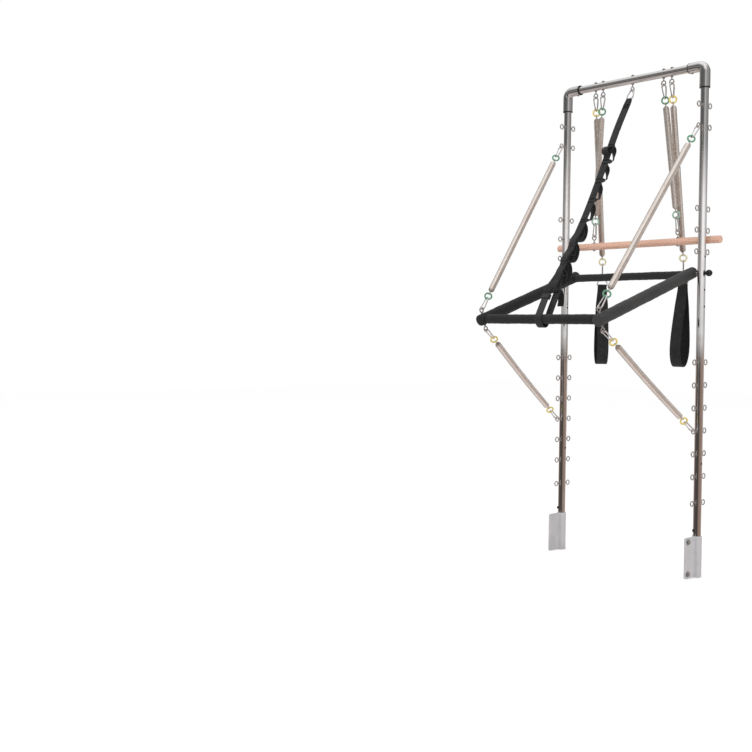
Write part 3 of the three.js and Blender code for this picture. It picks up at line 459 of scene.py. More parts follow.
def new_finish(name, **settings):
    """A material, its nodes and its shader, with some of the shader's inputs set."""
    finish = bpy.data.materials.new(name)
    finish.use_nodes = True
    shader = finish.node_tree.nodes["Principled BSDF"]
    for label, value in settings.items():
        shader.inputs[label.replace("_", " ")].default_value = value
    return finish, finish.node_tree, shader


def cover(tree, shader, colour, roughness, bumps=None):
    """Gives a finish its colour, its roughness and its bumps."""
    for label, source in (("Base Color", colour), ("Roughness", roughness), ("Normal", bumps)):
        if source is not None:
            tree.links.new(output_of(source), shader.inputs[label])


def metal_finish(name, bright, dull, polish, smudge, depth=0.02, metallic=1):
    finish, tree, shader = new_finish(name, Metallic=metallic)
    marks = add_node(tree, "Group", node_tree=handling, in_Bright=(*bright, 1), in_Dull=(*dull, 1),
                     in_Polish=polish, in_Smudge=smudge, in_Depth=depth)
    cover(tree, shader, marks, marks.outputs["Roughness"], marks.outputs["Normal"])
    return finish


socket_zinc = metal_finish("socket_zinc", (0.74, 0.735, 0.76), (0.62, 0.615, 0.64), 0.34, 0.12,
                           metallic=0.35)
bolt_steel = metal_finish("bolt_steel", (0.62, 0.61, 0.59), (0.42, 0.41, 0.40), 0.24, 0.2)
for word, side in sides_words:
    foot = Vector((side * post_x, 0, 0))
    sleeve = turned(
        [(0, 0), (socket_outer - socket_lip, 0), (socket_outer, socket_lip),
         (socket_outer, socket_height - socket_lip), (socket_outer - socket_lip, socket_height),
         (socket_bore + socket_lip, socket_height), (socket_bore, socket_height - socket_lip),
         (socket_bore, socket_floor), (0, socket_floor)], foot, axis_z, 64)
    plate = slab(
        rounded_rectangle(-plate_reach, -socket_outer + weld_radius, 0, socket_height, plate_corner),
        foot, axis_y, axis_z, plate_thickness, plate_edge)
    shapes = [sleeve, plate]
    for face in (-1, 1):
        bead = []
        for step in range(81):
            rise = socket_lip + (socket_height - 2 * socket_lip) * step / 80
            bead.append(foot + Vector((face * plate_thickness / 2, -socket_outer + weld_radius / 2, rise)))
        ripple = [weld_radius * (0.9 + 0.1 * math.sin(2.4 * step)) for step in range(81)]
        shapes.append(drawn(bead, ripple, 10))
    for height in (socket_bolt_inset, socket_height - socket_bolt_inset):
        seat = foot + Vector((side * plate_thickness / 2, -plate_reach + socket_bolt_inset, height))
        out = axis_x * side
        shapes.append((*turned(disc(bolt_washer_radius, 0, bolt_washer_height), seat, out, 32), 1))
        shapes.append((*turned(
            [(0, bolt_washer_height), (bolt_head_radius, bolt_washer_height),
             (bolt_head_radius, bolt_washer_height + bolt_head_height * 0.85),
             (bolt_head_radius * 0.86, bolt_washer_height + bolt_head_height),
             (0, bolt_washer_height + bolt_head_height)], seat, out, 6), 1))
    socket = make_piece(f"{word}_socket_sleeve_and_plate", shapes, socket_zinc, bolt_steel)
    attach(socket, "frame")
    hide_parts(f"{word}_socket")

# Posts: two lengths of chromed steel tube that stand in the sockets. Five holes go through
# each from side to side, and the pivot pins pass through one pair of them.
post_radius = 0.016
post_wall = 0.0025
post_foot = 0.0043
post_top = 2.0017
pivot_height = 1.2145
pivot_hole = 0.0054
spare_hole = 0.0045
hole_pitch = 0.0665
lowest_hole = 0.454
hole_heights = [lowest_hole] + [pivot_height + step * hole_pitch for step in range(-2, 2)]
frame_chrome = metal_finish("frame_chrome", (0.90, 0.88, 0.87), (0.84, 0.81, 0.80), 0.05, 0.05, 0.006)
bare_steel = metal_finish("bare_steel", (0.16, 0.15, 0.145), (0.08, 0.075, 0.07), 0.55, 0.2)


def bored_tube(name, start, direction, length, radius, wall, holes, finishes, sides=64):
    """A tube with round holes bored through it, polished outside and bare within."""
    inner = radius - wall
    wall_line = [(inner, 0), (radius, 0), (radius, length), (inner, length)]
    tube = make_piece(name, [turned(wall_line, start, direction, sides, ring=True)], *finishes)
    drills = []
    for centre, way, bore in holes:
        drill = make_piece("drill", [turned(disc(bore, -2 * radius, 2 * radius), centre, way, 32)])
        cut = tube.modifiers.new("hole", "BOOLEAN")
        cut.operation = "DIFFERENCE"
        cut.object = drill
        drills.append(drill)
    bpy.context.view_layer.update()
    bored = bpy.data.meshes.new_from_object(tube.evaluated_get(bpy.context.evaluated_depsgraph_get()))
    tube.modifiers.clear()
    tube.data = bored
    for face in bored.polygons:
        outward = face.center - Vector(start)
        outward -= Vector(direction) * outward.dot(direction)
        face.material_index = int(outward.length < radius - 0.0004)
    for drill in drills:
        bpy.data.meshes.remove(drill.data)
    round_off(tube, start, direction)
    return tube


def round_off(tube, start, direction):
    """Gives a bored tube's long faces the smooth shading of a true cylinder."""
    mesh = tube.data
    mesh.shade_smooth()
    start, direction = np.array(start), np.array(Vector(direction).normalized())
    points = np.array([vertex.co for vertex in mesh.vertices])
    offsets = points - start
    radial = offsets - np.outer(offsets @ direction, direction)
    radial /= np.maximum(np.linalg.norm(radial, axis=1, keepdims=True), 1e-9)
    normals = []
    for polygon in mesh.polygons:
        flat = np.array(polygon.normal)
        for corner in polygon.vertices:
            towards = radial[corner] @ flat
            if abs(towards) > 0.9:
                normals.append(tuple(radial[corner] * np.sign(towards)))
            else:
                normals.append(tuple(flat))
    mesh.normals_split_custom_set(normals)


for word, side in sides_words:
    foot = Vector((side * post_x, 0, post_foot))
    holes = []
    for height in hole_heights:
        bore = pivot_hole if height == pivot_height else spare_hole
        holes.append((Vector((foot.x, 0, height)), axis_x, bore))
    post = bored_tube(f"{word}_post_tube", foot, axis_z, post_top - post_foot, post_radius, post_wall,
                      holes, (frame_chrome, bare_steel))
    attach(post, "frame")
    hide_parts(f"{word}_post")

# Eye bolts on the posts: bright steel eyes in pairs, one at the front and one at the back of
# each station, drawn up against the tube by a washer and a hexagon nut. A stop bolt with a
# black cap stands out of each post just above its socket.
eye_reach = 0.039
eye_radius = 0.010
eye_wire = 0.0025
shank_radius = 0.0024
nut_radius = 0.0052
nut_height = 0.0034
washer_radius = 0.0062
washer_height = 0.0011
station_heights = [0.295] + [0.401 + 0.0915 * step for step in range(6)]
station_heights += [1.300 + 0.0858 * step for step in range(3)] + [1.798, 1.884]
eye_thread_past = 0.001
stop_height = 0.187
stop_sink = 0.0008
stop_shank = 0.004
stop_shank_length = 0.006
stop_cap_start = 0.004
stop_cap_radius = 0.0062
stop_reach = 0.0128
eye_steel = metal_finish("eye_steel", (0.74, 0.72, 0.70), (0.55, 0.52, 0.50), 0.16, 0.16)


def hexagon_nut(start, direction, radius, height):
    """A washer and a chamfered hexagon nut, one on the other."""
    low, top = washer_height, washer_height + height
    return [
        turned(disc(washer_radius, 0, low), start, direction, 24),
        turned([(0, low), (radius * 0.93, low), (radius, low + height * 0.15), (radius, top - height * 0.15),
                (radius * 0.9, top), (0, top)], start, direction, 6)]


def eye_bolt(centre, inward, axis, surface, end):
    """An eye on its threaded shank; inward runs from the eye to the tube and past its surface."""
    inward = Vector(inward).normalized()
    thread = [Vector(centre) + inward * (eye_radius + (end - eye_radius) * step / 24) for step in range(25)]
    ridges = [shank_radius * (1 if step % 2 else 0.93) for step in range(25)]
    shapes = [ring_of(centre, axis, eye_radius, eye_wire, 36, 12), drawn(thread, ridges, 10)]
    seat = Vector(centre) + inward * surface
    return shapes + hexagon_nut(seat, -inward, nut_radius, nut_height)


cap_black, tree, shader = new_finish("cap_black", IOR=1.5)
place = add_node(tree, "TexCoord")
mottle = add_node(tree, "TexNoise", in_Vector=place.outputs["Object"], in_Scale=160, in_Detail=4)
shade = colour_ramp(tree, mottle, [(0.3, (0.008, 0.008, 0.009, 1)), (0.75, (0.020, 0.020, 0.021, 1))])
gloss = rescale(tree, mottle, 0.3, 0.8, 0.14, 0.30)
cover(tree, shader, shade, gloss)

for word, side in sides_words:
    shapes = []
    for height in station_heights:
        for way in (-1, 1):
            eye = Vector((side * post_x, way * eye_reach, height))
            shank = eye_reach - post_radius
            shapes += eye_bolt(eye, axis_y * -way, axis_x, shank, shank + eye_thread_past)
    eyes = make_piece(f"{word}_post_eye_bolts", shapes, eye_steel)
    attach(eyes, "frame")
    stop_foot = Vector((side * post_x, -post_radius + stop_sink, stop_height))
    stop = make_piece(f"{word}_post_stop_bolt", [
        (*turned(disc(stop_shank, 0, stop_shank_length), stop_foot, -axis_y, 20), 1),
        turned([(0, stop_cap_start), (stop_cap_radius * 0.86, stop_cap_start), (stop_cap_radius, 0.0056),
                (stop_cap_radius, stop_reach - 0.003), (stop_cap_radius * 0.8, stop_reach - 0.0008),
                (stop_cap_radius * 0.45, stop_reach), (0, stop_reach)], stop_foot, -axis_y, 32)],
        cap_black, bolt_steel)
    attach(stop, "frame")

# Elbows: chromed castings with a socket for the post and one for the crossbar. Each mouth
# has a black plastic collar, and a socket screw behind it grips the tube.
elbow_radius = 0.021
elbow_bore = 0.0163
elbow_height = 2.040
elbow_post_leg = 0.088
elbow_bar_leg = 0.072
elbow_bend = 0.025
collar_radius = 0.0214
collar_length = 0.0045
collar_edge = 0.0008
collar_sink = 0.0004
screw_inset = 0.014
screw_radius = 0.0047
screw_rise = 0.0028
screw_sink = 0.001
screw_edge = 0.0006
key_depth = 0.002
elbow_chrome = metal_finish("elbow_chrome", (0.88, 0.86, 0.85), (0.80, 0.77, 0.76), 0.06, 0.06, 0.008)


def pipe(route, outer, inner, sides=48):
    """A pipe of one outer and one inner radius, or one of each for every point of its route."""
    shell, shell_faces = drawn(route, outer, sides)
    core, core_faces = drawn(route, inner, sides)
    base, last = len(shell), (len(route) - 1) * sides
    faces = shell_faces[:-2] + [tuple(base + index for index in face) for face in core_faces[:-2]]
    for start in (0, last):
        for corner in range(sides):
            after = start + (corner + 1) % sides
            faces.append((start + corner, after, base + after, base + start + corner))
    return shell + core, faces


for word, side in sides_words:
    corner = Vector((side * post_x, 0, elbow_height))
    inward = axis_x * -side
    post_straight, bar_straight = elbow_post_leg - elbow_bend, elbow_bar_leg - elbow_bend
    route = [corner - axis_z * (elbow_post_leg - post_straight * step / 6) for step in range(6)]
    for step in range(25):
        turn = math.pi / 2 * step / 24
        down, over = elbow_bend * (1 - math.sin(turn)), elbow_bend * (1 - math.cos(turn))
        route.append(corner - axis_z * down + inward * over)
    route += [corner + inward * (elbow_bend + bar_straight * step / 4) for step in range(1, 5)]
    shapes = [(*pipe(route, elbow_radius, elbow_bore), 0)]
    mouths = [(corner - axis_z * elbow_post_leg, axis_z, inward),
              (corner + inward * elbow_bar_leg, -inward, -axis_z)]
    for mouth, into, out in mouths:
        collar = [(elbow_bore, 0), (collar_radius - collar_edge, 0), (collar_radius, collar_edge),
                  (collar_radius, collar_length - collar_edge), (collar_radius - collar_edge, collar_length),
                  (elbow_bore, collar_length)]
        shapes.append((*turned(collar, mouth - into * collar_sink, into, 64, ring=True), 1))
        screw = mouth + into * screw_inset + out * (elbow_radius - screw_sink)
        rise = screw_rise + screw_sink
        socket_key = screw_radius * 0.5
        head = [(0, 0), (screw_radius, 0), (screw_radius, rise - screw_edge),
                (screw_radius - screw_edge, rise), (socket_key, rise), (socket_key, rise - key_depth),
                (0, rise - key_depth)]
        shapes.append((*turned(head, screw, out, 24), 2))
    elbow = make_piece(f"{word}_elbow_casting", shapes, elbow_chrome, cap_black, bolt_steel)
    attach(elbow, "frame")
    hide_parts(f"{word}_elbow")

# Crossbar: a chromed steel tube held in the two elbows. Five eye bolts hang from it, each
# drawn up from above by a domed nut on a washer.
bar_end = 0.3277
eye_offsets = [-0.1945, -0.155, 0, 0.155, 0.1945]
dome_washer = washer_radius + 0.0009
dome_radius = 0.0065
dome_base = 0.0036
dome_top = 0.0070
dome_edge = 0.0003
dome_sink = 0.0004
bar_bore = post_radius - post_wall
bar_tube = turned([(bar_bore, 0), (post_radius, 0), (post_radius, 2 * bar_end), (bar_bore, 2 * bar_end)],
                  (-bar_end, 0, elbow_height), axis_x, 64, ring=True)
crossbar = make_piece("crossbar_tube", [bar_tube], frame_chrome)
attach(crossbar, "frame")
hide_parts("crossbar")
shapes = []
for offset in eye_offsets:
    eye = Vector((offset, 0, elbow_height - eye_reach))
    axis = axis_y if offset else axis_x
    shapes += eye_bolt(eye, axis_z, axis, eye_reach - post_radius, eye_reach + post_radius)
    seat = Vector((offset, 0, elbow_height + post_radius - dome_sink))
    shapes.append(turned(disc(dome_washer, 0, washer_height), seat, axis_z, 32))
    hexagon = [(0, washer_height), (dome_radius, washer_height), (dome_radius, dome_base),
               (dome_radius * 0.9, dome_base + dome_edge), (0, dome_base + dome_edge)]
    shapes.append(turned(hexagon, seat, axis_z, 6))
    dome = [(0, dome_base)] + [
        (dome_radius * 0.82 * math.cos(turn), dome_base + (dome_top - dome_base) * math.sin(turn))
        for turn in (math.pi / 2 * step / 8 for step in range(8))] + [(0, dome_top)]
    shapes.append(turned(dome, seat, axis_z, 32))
crossbar_eyes = make_piece("crossbar_eye_bolts", shapes, eye_steel)
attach(crossbar_eyes, "frame")

# Push-through bar: one steel tube bent into a four-sided frame that turns on the pivot
# pins. Each front corner has an eye bolt above the bar and one below it.
arm_length = 0.601
arm_drop = math.radians(18.7)
arm_offset = 0.300
rear_bar_distance = 0.015
push_radius = 0.011
push_corner = 0.020
push_eye_reach = {1: 0.0395, -1: 0.043}
arm_foam_radius = 0.0238
front_foam_radius = 0.0193
rear_foam_radius = 0.0165
arm_way = Vector((0, -math.cos(arm_drop), -math.sin(arm_drop)))
arm_normal = Vector((0, -math.sin(arm_drop), math.cos(arm_drop)))


def arm_point(side, distance):
    return Vector((side * arm_offset, 0, pivot_height)) + arm_way * distance


def rounded_route(corners, radius, steps=8):
    """A closed route through corners, each rounded to a radius."""
    route = []
    count = len(corners)
    for index, corner in enumerate(corners):
        before = (corners[index - 1] - corner).normalized()
        after = (corners[(index + 1) % count] - corner).normalized()
        centre = corner + (before + after) * radius
        for step in range(steps + 1):
            turn = math.pi / 2 * step / steps
            route.append(centre - after * (radius * math.cos(turn)) - before * (radius * math.sin(turn)))
    return route


def push_eye(side, above):
    """The middle of a front corner's eye, above (1) or below (-1) the bar."""
    return arm_point(side, arm_length) + arm_normal * (above * push_eye_reach[above])


corners = [arm_point(side, distance) for side, distance in (
    (-1, rear_bar_distance), (-1, arm_length), (1, arm_length), (1, rear_bar_distance))]
shapes = [drawn(rounded_route(corners, push_corner), push_radius, 24, closed=True)]
push_frame = make_piece("push_bar_tube", shapes, eye_steel)
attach(push_frame, "push_bar")
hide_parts("push_bar_frame")
shapes = []
for _, side in sides_words:
    for above in (-1, 1):
        reach = push_eye_reach[above]
        shapes += eye_bolt(push_eye(side, above), arm_normal * -above, axis_x,
                           reach - arm_foam_radius, reach)
push_eyes = make_piece("push_bar_eye_bolts", shapes, eye_steel)
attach(push_eyes, "push_bar")

# Foam sleeves: dark closed-cell rubber pushed over the bar's four sides. The two arm
# sleeves run past the corners with rounded ends; the cross sleeves butt against them.
foam_bore = 0.0112
arm_foam_rear_reach = 0.019
foam_round = 0.0055
foam_wave = 0.00025
foam_gap = 0.0003


def foam_finish(name, shades):
    """Closed-cell rubber skin: fine pores, cloudy handling marks and a soft bloom."""
    finish, tree, shader = new_finish(name, Sheen_Weight=0.08, Sheen_Roughness=0.6, Specular_IOR_Level=0.25)
    place = add_node(tree, "TexCoord")
    pores = add_node(tree, "TexVoronoi", feature="F1", in_Vector=place.outputs["Object"], in_Scale=900)
    cloud = noise(tree, place.outputs["Object"], 9, 5, 0.55)
    shade = colour_ramp(tree, cloud, list(zip((0.3, 0.5, 0.72), shades)))
    deep = rescale(tree, pores.outputs["Distance"], 0.0, 0.5, 1.06, 0.90)
    speckled = mix_colours(tree, 1.0, shade, deep, "MULTIPLY")
    rough = rescale(tree, cloud, 0.3, 0.7, 0.66, 0.80)
    pitted = add_node(tree, "Bump", in_Height=pores.outputs["Distance"], in_Strength=0.2, in_Distance=0.0004)
    cover(tree, shader, speckled, rough, pitted)
    return finish


# Three copies of one rubber that differ only in painted light: the plain dark rubber, one painted somewhat
# lighter as half light for the rear sleeve, and one painted much lighter as light falling on the right arm's
# side.
dark_foam = foam_finish(
    "foam_rubber", [(0.011, 0.011, 0.012, 1), (0.015, 0.015, 0.015, 1), (0.019, 0.018, 0.018, 1)])
half_lit_foam = foam_finish(
    "foam_rubber_painted_half_light", [(0.017, 0.017, 0.018, 1), (0.022, 0.022, 0.022, 1), (0.027, 0.026, 0.026, 1)])
lit_side_foam = foam_finish(
    "foam_rubber_painted_light", [(0.040, 0.039, 0.040, 1), (0.046, 0.045, 0.045, 1), (0.053, 0.051, 0.050, 1)])


def rounded_end(radius, rounding):
    """The profile of a rounded edge, from the end face to the side."""
    return [(radius - rounding * (1 - math.sin(turn)), rounding * (1 - math.cos(turn)))
            for turn in (math.pi / 2 * step / 6 for step in range(7))]


def foam_sleeve(start, direction, length, foam_radius, capped, seed):
    """A foam sleeve with softly rounded ends and a slightly uneven skin."""
    ends = rounded_end(foam_radius, foam_round)
    middle = [(foam_radius, foam_round + (length - 2 * foam_round) * step / 90) for step in range(1, 90)]
    outside = ends + middle + [(radius, length - along) for radius, along in reversed(ends)]
    inner = 0 if capped else foam_bore
    profile = [(inner, 0)] + outside + [(inner, length)]
    points, faces = turned(profile, start, direction, 48, ring=not capped)
    start, direction = Vector(start), Vector(direction).normalized()
    uneven = []
    for point in points:
        along = (point - start).dot(direction)
        out = point - start - direction * along
        if out.length < foam_radius * 0.8:
            uneven.append(point)
            continue
        first, second = frame_along(direction)
        angle = math.atan2(out.dot(second), out.dot(first))
        wave = (math.sin(9 * along / foam_radius * 0.35 + seed) + math.sin(31 * along + 2 * angle + 3 * seed)
                + math.sin(57 * along - 3 * angle + seed))
        uneven.append(point + out.normalized() * (foam_wave * (wave - 1.5)))
    return uneven, faces


cross_reach = arm_offset - arm_foam_radius - foam_gap
# The rear sleeve takes the rubber painted somewhat lighter as half light; the front sleeve keeps the plain
# dark rubber.
for name, distance, radius, seed, finish in (
        ("rear_foam", rear_bar_distance, rear_foam_radius, 0.4, half_lit_foam),
        ("front_foam", arm_length, front_foam_radius, 1.7, dark_foam)):
    start = Vector((-cross_reach, 0, pivot_height)) + arm_way * distance
    sleeve = make_piece(f"{name}_sleeve", [foam_sleeve(start, axis_x, 2 * cross_reach, radius, False, seed)],
                        finish)
    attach(sleeve, "push_bar")
    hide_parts(name)
for word, side in sides_words:
    length = arm_length + arm_foam_rear_reach + arm_foam_radius
    start = arm_point(side, -arm_foam_rear_reach)
    shape = foam_sleeve(start, arm_way, length, arm_foam_radius, True, 2.6 + side)
    # The right arm's sleeve takes the rubber painted much lighter as light on its side; the left keeps the
    # plain dark rubber.
    sleeve = make_piece(f"{word}_arm_foam_sleeve", [shape], lit_side_foam if side > 0 else dark_foam)
    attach(sleeve, "push_bar")
    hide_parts(f"{word}_arm_foam")

# Pivot pins: steel pins that slide through the posts into the push-through bar. Each is
# moulded into a glossy black ball with a short neck, to be pulled out by hand.
pin_radius = 0.005
pin_inner_end = 0.309
knob_radius = 0.0135
knob_centre = 0.384
neck_radius = 0.0072
pin_edge = 0.001
neck_edge = 0.0005
knob_gap = 0.0006
for word, side in sides_words:
    out = axis_x * side
    start = Vector((side * pin_inner_end, 0, pivot_height))
    length = knob_centre - pin_inner_end
    neck_start = post_x + post_radius + knob_gap - pin_inner_end
    neck_turn = math.asin(neck_radius / knob_radius)
    shank = [(0, 0), (pin_radius - pin_edge, 0), (pin_radius, pin_edge), (pin_radius, length), (0, length)]
    steel = turned(shank, start, out, 32)
    ball = [(0, neck_start), (neck_radius - neck_edge, neck_start), (neck_radius, neck_start + neck_edge)]
    for step in range(25):
        turn = neck_turn + (math.pi - neck_turn) * step / 24
        wide = knob_radius * math.sin(turn) if step < 24 else 0
        ball.append((wide, length - knob_radius * math.cos(turn)))
    pin = make_piece(f"{word}_pivot_pin_and_knob", [(*steel, 1), turned(ball, start, out, 48)],
                     cap_black, bolt_steel)
    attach(pin, f"{word}_pin")
    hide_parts(f"{word}_pivot_pin")

# Roll-down bar: a turned beech rod with softened ends and a clear satin finish. Two eye
# bolts go through it, each held by a washer and a nut above and below.
rod_radius = 0.015
rod_length = 0.830
rod_height = 1.349
rod_y = 0.0313
rod_round = 0.0035
rod_eye = 0.215
thread_under = 0.0045
nut_sink = 0.0002
beech, tree, shader = new_finish("beech", Coat_Weight=0.25, Coat_Roughness=0.25)
place = add_node(tree, "TexCoord")
stretch = add_node(tree, "Mapping", in_Vector=place.outputs["Object"], in_Scale=(0.09, 1, 1),
                   in_Location=(0, 0.013, -1.3245))
rings = add_node(tree, "TexWave", wave_type="RINGS", rings_direction="X", in_Vector=stretch, in_Scale=95,
                 in_Distortion=5.0, in_Detail=3, in_Detail_Scale=1.2)
rays = add_node(tree, "Mapping", in_Vector=place.outputs["Object"], in_Scale=(60, 900, 900))
flecks = noise(tree, rays, 1, 4, 0.7)
grain = colour_ramp(tree, rings.outputs["Color"], [
    (0.0, (0.70, 0.40, 0.29, 1)), (0.45, (0.78, 0.47, 0.35, 1)), (1.0, (0.86, 0.55, 0.42, 1))])
fleck_shade = rescale(tree, flecks, 0.30, 0.62, 0.80, 1.05)
board = mix_colours(tree, 1.0, grain, fleck_shade, "MULTIPLY")
satin = rescale(tree, flecks, 0.3, 0.7, 0.52, 0.40)
pores = add_node(tree, "Bump", in_Height=flecks, in_Strength=0.15, in_Distance=0.0003)
cover(tree, shader, board, satin, pores)

rounding = rounded_end(rod_radius, rod_round)
profile = [(0, 0)] + rounding + [(radius, rod_length - along) for radius, along in reversed(rounding)]
profile += [(0, rod_length)]
rod = make_piece("roll_down_rod", [turned(profile, (-rod_length / 2, rod_y, rod_height), axis_x, 64)], beech)
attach(rod, "roll_down_set")
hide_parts("roll_down_bar")
shapes = []
for _, side in sides_words:
    eye = Vector((side * rod_eye, rod_y, rod_height + eye_reach))
    under = eye_reach + rod_radius
    shapes += eye_bolt(eye, -axis_z, axis_y, eye_reach - rod_radius, under + thread_under)
    shapes += hexagon_nut(eye - axis_z * (under - nut_sink), -axis_z, nut_radius, nut_height)
rod_eyes = make_piece("roll_down_eye_bolts", shapes, eye_steel)
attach(rod_eyes, "roll_down_set")

# Snap hooks: bent steel wire with a sprung gate along one side. The wide end goes through
# an eye bolt and the narrow end through a coloured ring.
snap_length = 0.066
snap_wire = 0.0030
snap_wide = 0.0100
snap_narrow = 0.0068
pear_wide = 0.0142
gate_wire = 0.0022
gate_top_gap = 0.0042
nose_gap = 0.0035
hinge_rise = 0.002
rivet_radius = 0.0013
rivet_half = 0.0031
snap_enter = 0.00361
ring_distance = 0.07143
spring_start = 0.08723
hook_steel = metal_finish("hook_steel", (0.92, 0.90, 0.89), (0.78, 0.75, 0.74), 0.16, 0.14, 0.01)


def snap_hook(eye_end, direction, across, wide=snap_wide, narrow=snap_narrow, length=snap_length):
    """The hook's bent body with a gap in one side, and the gate that closes the gap."""
    direction = Vector(direction).normalized()
    across = (Vector(across) - direction * Vector(across).dot(direction)).normalized()
    span = length - 2 * snap_wire

    def place(out, along):
        return Vector(eye_end) + direction * along + across * out

    body = []
    for step in range(17):
        turn = math.pi * step / 16
        body.append(place(wide * math.cos(turn) * -1, wide * (1 - math.sin(turn)) if step else wide))
    hinge = span - narrow * 1.7
    for step in range(1, 9):
        share = step / 8
        out = wide + (narrow - wide) * share
        body.append(place(out, wide + (span - narrow - wide) * share))
    for step in range(1, 17):
        turn = math.pi * step / 16
        body.append(place(narrow * math.cos(turn), span - narrow * (1 - math.sin(turn))))
    rivet = place(-narrow, hinge + hinge_rise)
    body = [place(-wide, wide + nose_gap)] + body + [rivet]
    shapes = [drawn(body, snap_wire, 14)]
    gate_top = place(-wide, wide + gate_top_gap)
    gate_foot = place(-narrow - 0.0002, hinge + 0.0015)
    gate = [gate_top + (gate_foot - gate_top) * step / 6 for step in range(7)]
    bulge = [gate_wire * factor for factor in (0.9, 1, 1, 1, 1, 1.05, 1.15)]
    shapes.append(drawn(gate, bulge, 12))
    side = direction.cross(across)
    shapes.append(turned(disc(rivet_radius, -rivet_half, rivet_half), rivet, side, 14))
    return shapes


# Coloured rings: steel rings with a green coat on the heavier springs and a yellow coat on
# the lighter ones. The coat is mottled, and chipped to the bare metal in small patches.
coil_ring = 0.0138
ring_wire = 0.0035
ring_facing = Vector((0.62, -0.78, 0))


def coated_finish(name, light, dark, worn):
    finish, tree, shader = new_finish(name)
    place = add_node(tree, "TexCoord")
    patches = noise(tree, place.outputs["Object"], 130, 5, 0.6)
    coat = colour_ramp(tree, patches, [(0.35, dark), (0.62, light)])
    chips = rescale(tree, patches, 0.63, 0.67)
    bare = mix_colours(tree, chips, coat, worn)
    tree.links.new(chips.outputs[0], shader.inputs["Metallic"])
    dull = rescale(tree, patches, 0.3, 0.7, 0.48, 0.30)
    cover(tree, shader, bare, dull)
    return finish


green_coat = coated_finish(
    "green_coat", (0.165, 0.38, 0.24, 1), (0.10, 0.26, 0.16, 1), (0.5, 0.5, 0.48, 1))
yellow_coat = coated_finish(
    "yellow_coat", (0.88, 0.72, 0.22, 1), (0.78, 0.60, 0.16, 1), (0.60, 0.58, 0.52, 1))
pale_green_coat = coated_finish(
    "pale_green_coat", (0.42, 0.58, 0.48, 1), (0.30, 0.45, 0.36, 1), (0.6, 0.6, 0.58, 1))
pale_coat = coated_finish(
    "pale_yellow_coat", (0.92, 0.86, 0.55, 1), (0.84, 0.76, 0.44, 1), (0.70, 0.68, 0.60, 1))

# Springs: close-wound spring wire, nickel plated and satin. At each end the coil closes to
# a short stub whose small eye holds the coloured ring.
coil_radius = 0.0120
wire_depth = 0.0007
wire_squareness = 0.5
short_sag = 0.0045
wire_breadth = 0.00153
wind_pitch = 0.00308
stub_length = 0.0068
stub_reach = 0.0105
stub_radius = 0.0023
taper_turns = 4
turn_steps = 14
wire_sides = 6
end_eye_radius = 0.0046
end_eye_wire = 0.0017
spring_nickel = metal_finish("spring_nickel", (0.98, 0.90, 0.84), (0.90, 0.80, 0.73), 0.15, 0.10, 0.01,
                             metallic=0.92)


def wound_coil(start, direction, length, sag=0.0):
    """The wire of a close-wound coil with a taper at both ends, as one unbroken tube."""
    direction = np.array(Vector(direction).normalized())
    first, second = (np.array(way) for way in frame_along(direction))
    turns = round(length / wind_pitch)
    steps = turns * turn_steps
    step = np.arange(steps + 1)
    from_end = np.minimum(step, steps - step) / turn_steps
    share = np.clip(from_end / taper_turns, 0, 1)
    radius = stub_radius + (coil_radius - stub_radius) * np.sin(share * math.pi / 2)
    angle = 2 * math.pi * step / turn_steps
    outward = np.outer(np.cos(angle), first) + np.outer(np.sin(angle), second)
    middle = np.array(start) + np.outer(length * step / steps, direction) + radius[:, None] * outward
    middle[:, 2] -= sag * np.sin(math.pi * step / steps)
    points = []
    for corner in range(wire_sides):
        turn = 2 * math.pi * (corner + 0.5) / wire_sides
        deep, broad = (math.copysign(abs(part) ** wire_squareness, part)
                       for part in (math.cos(turn), math.sin(turn)))
        points.append(middle + wire_depth * deep * outward + wire_breadth * broad * direction)
    points = np.stack(points, axis=1).reshape(-1, 3).tolist()
    return points, swept_faces(steps + 1, wire_sides)


def end_stub(ring_near, direction, across):
    """The stub and small eye at one end of a spring; ring_near is the ring's nearest point."""
    direction = Vector(direction).normalized()
    eye = ring_of(ring_near, Vector(across).cross(direction), end_eye_radius, end_eye_wire, 24, 10)
    foot = ring_near + direction * (end_eye_radius + 0.0003)
    stub = drawn([foot + direction * (stub_reach * step / 5) for step in range(6)],
                 [stub_radius * factor for factor in (0.75, 1, 1, 1, 1, 0.8)], 14)
    return [eye, stub]


def ring_axis(direction):
    """The rings hang turned about their springs, square to the hooks and open to the front."""
    return (ring_facing - direction * ring_facing.dot(direction)).normalized()


def ring_and_hook(name, eye, direction, across, coat, body, hook_node, ring_node, wide=snap_wide):
    """The snap hook on an eye bolt and the coloured ring on the hook."""
    direction = Vector(direction).normalized()
    shapes = snap_hook(eye + direction * snap_enter, direction, across, wide)
    hook = make_piece(f"{name}_hook", shapes, hook_steel)
    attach(hook, body)
    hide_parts(hook_node)
    middle = eye + direction * ring_distance
    ring = make_piece(f"{name}_ring", [ring_of(middle, ring_axis(direction), coil_ring, ring_wire, 48, 16)],
                      coat)
    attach(ring, body)
    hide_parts(ring_node)


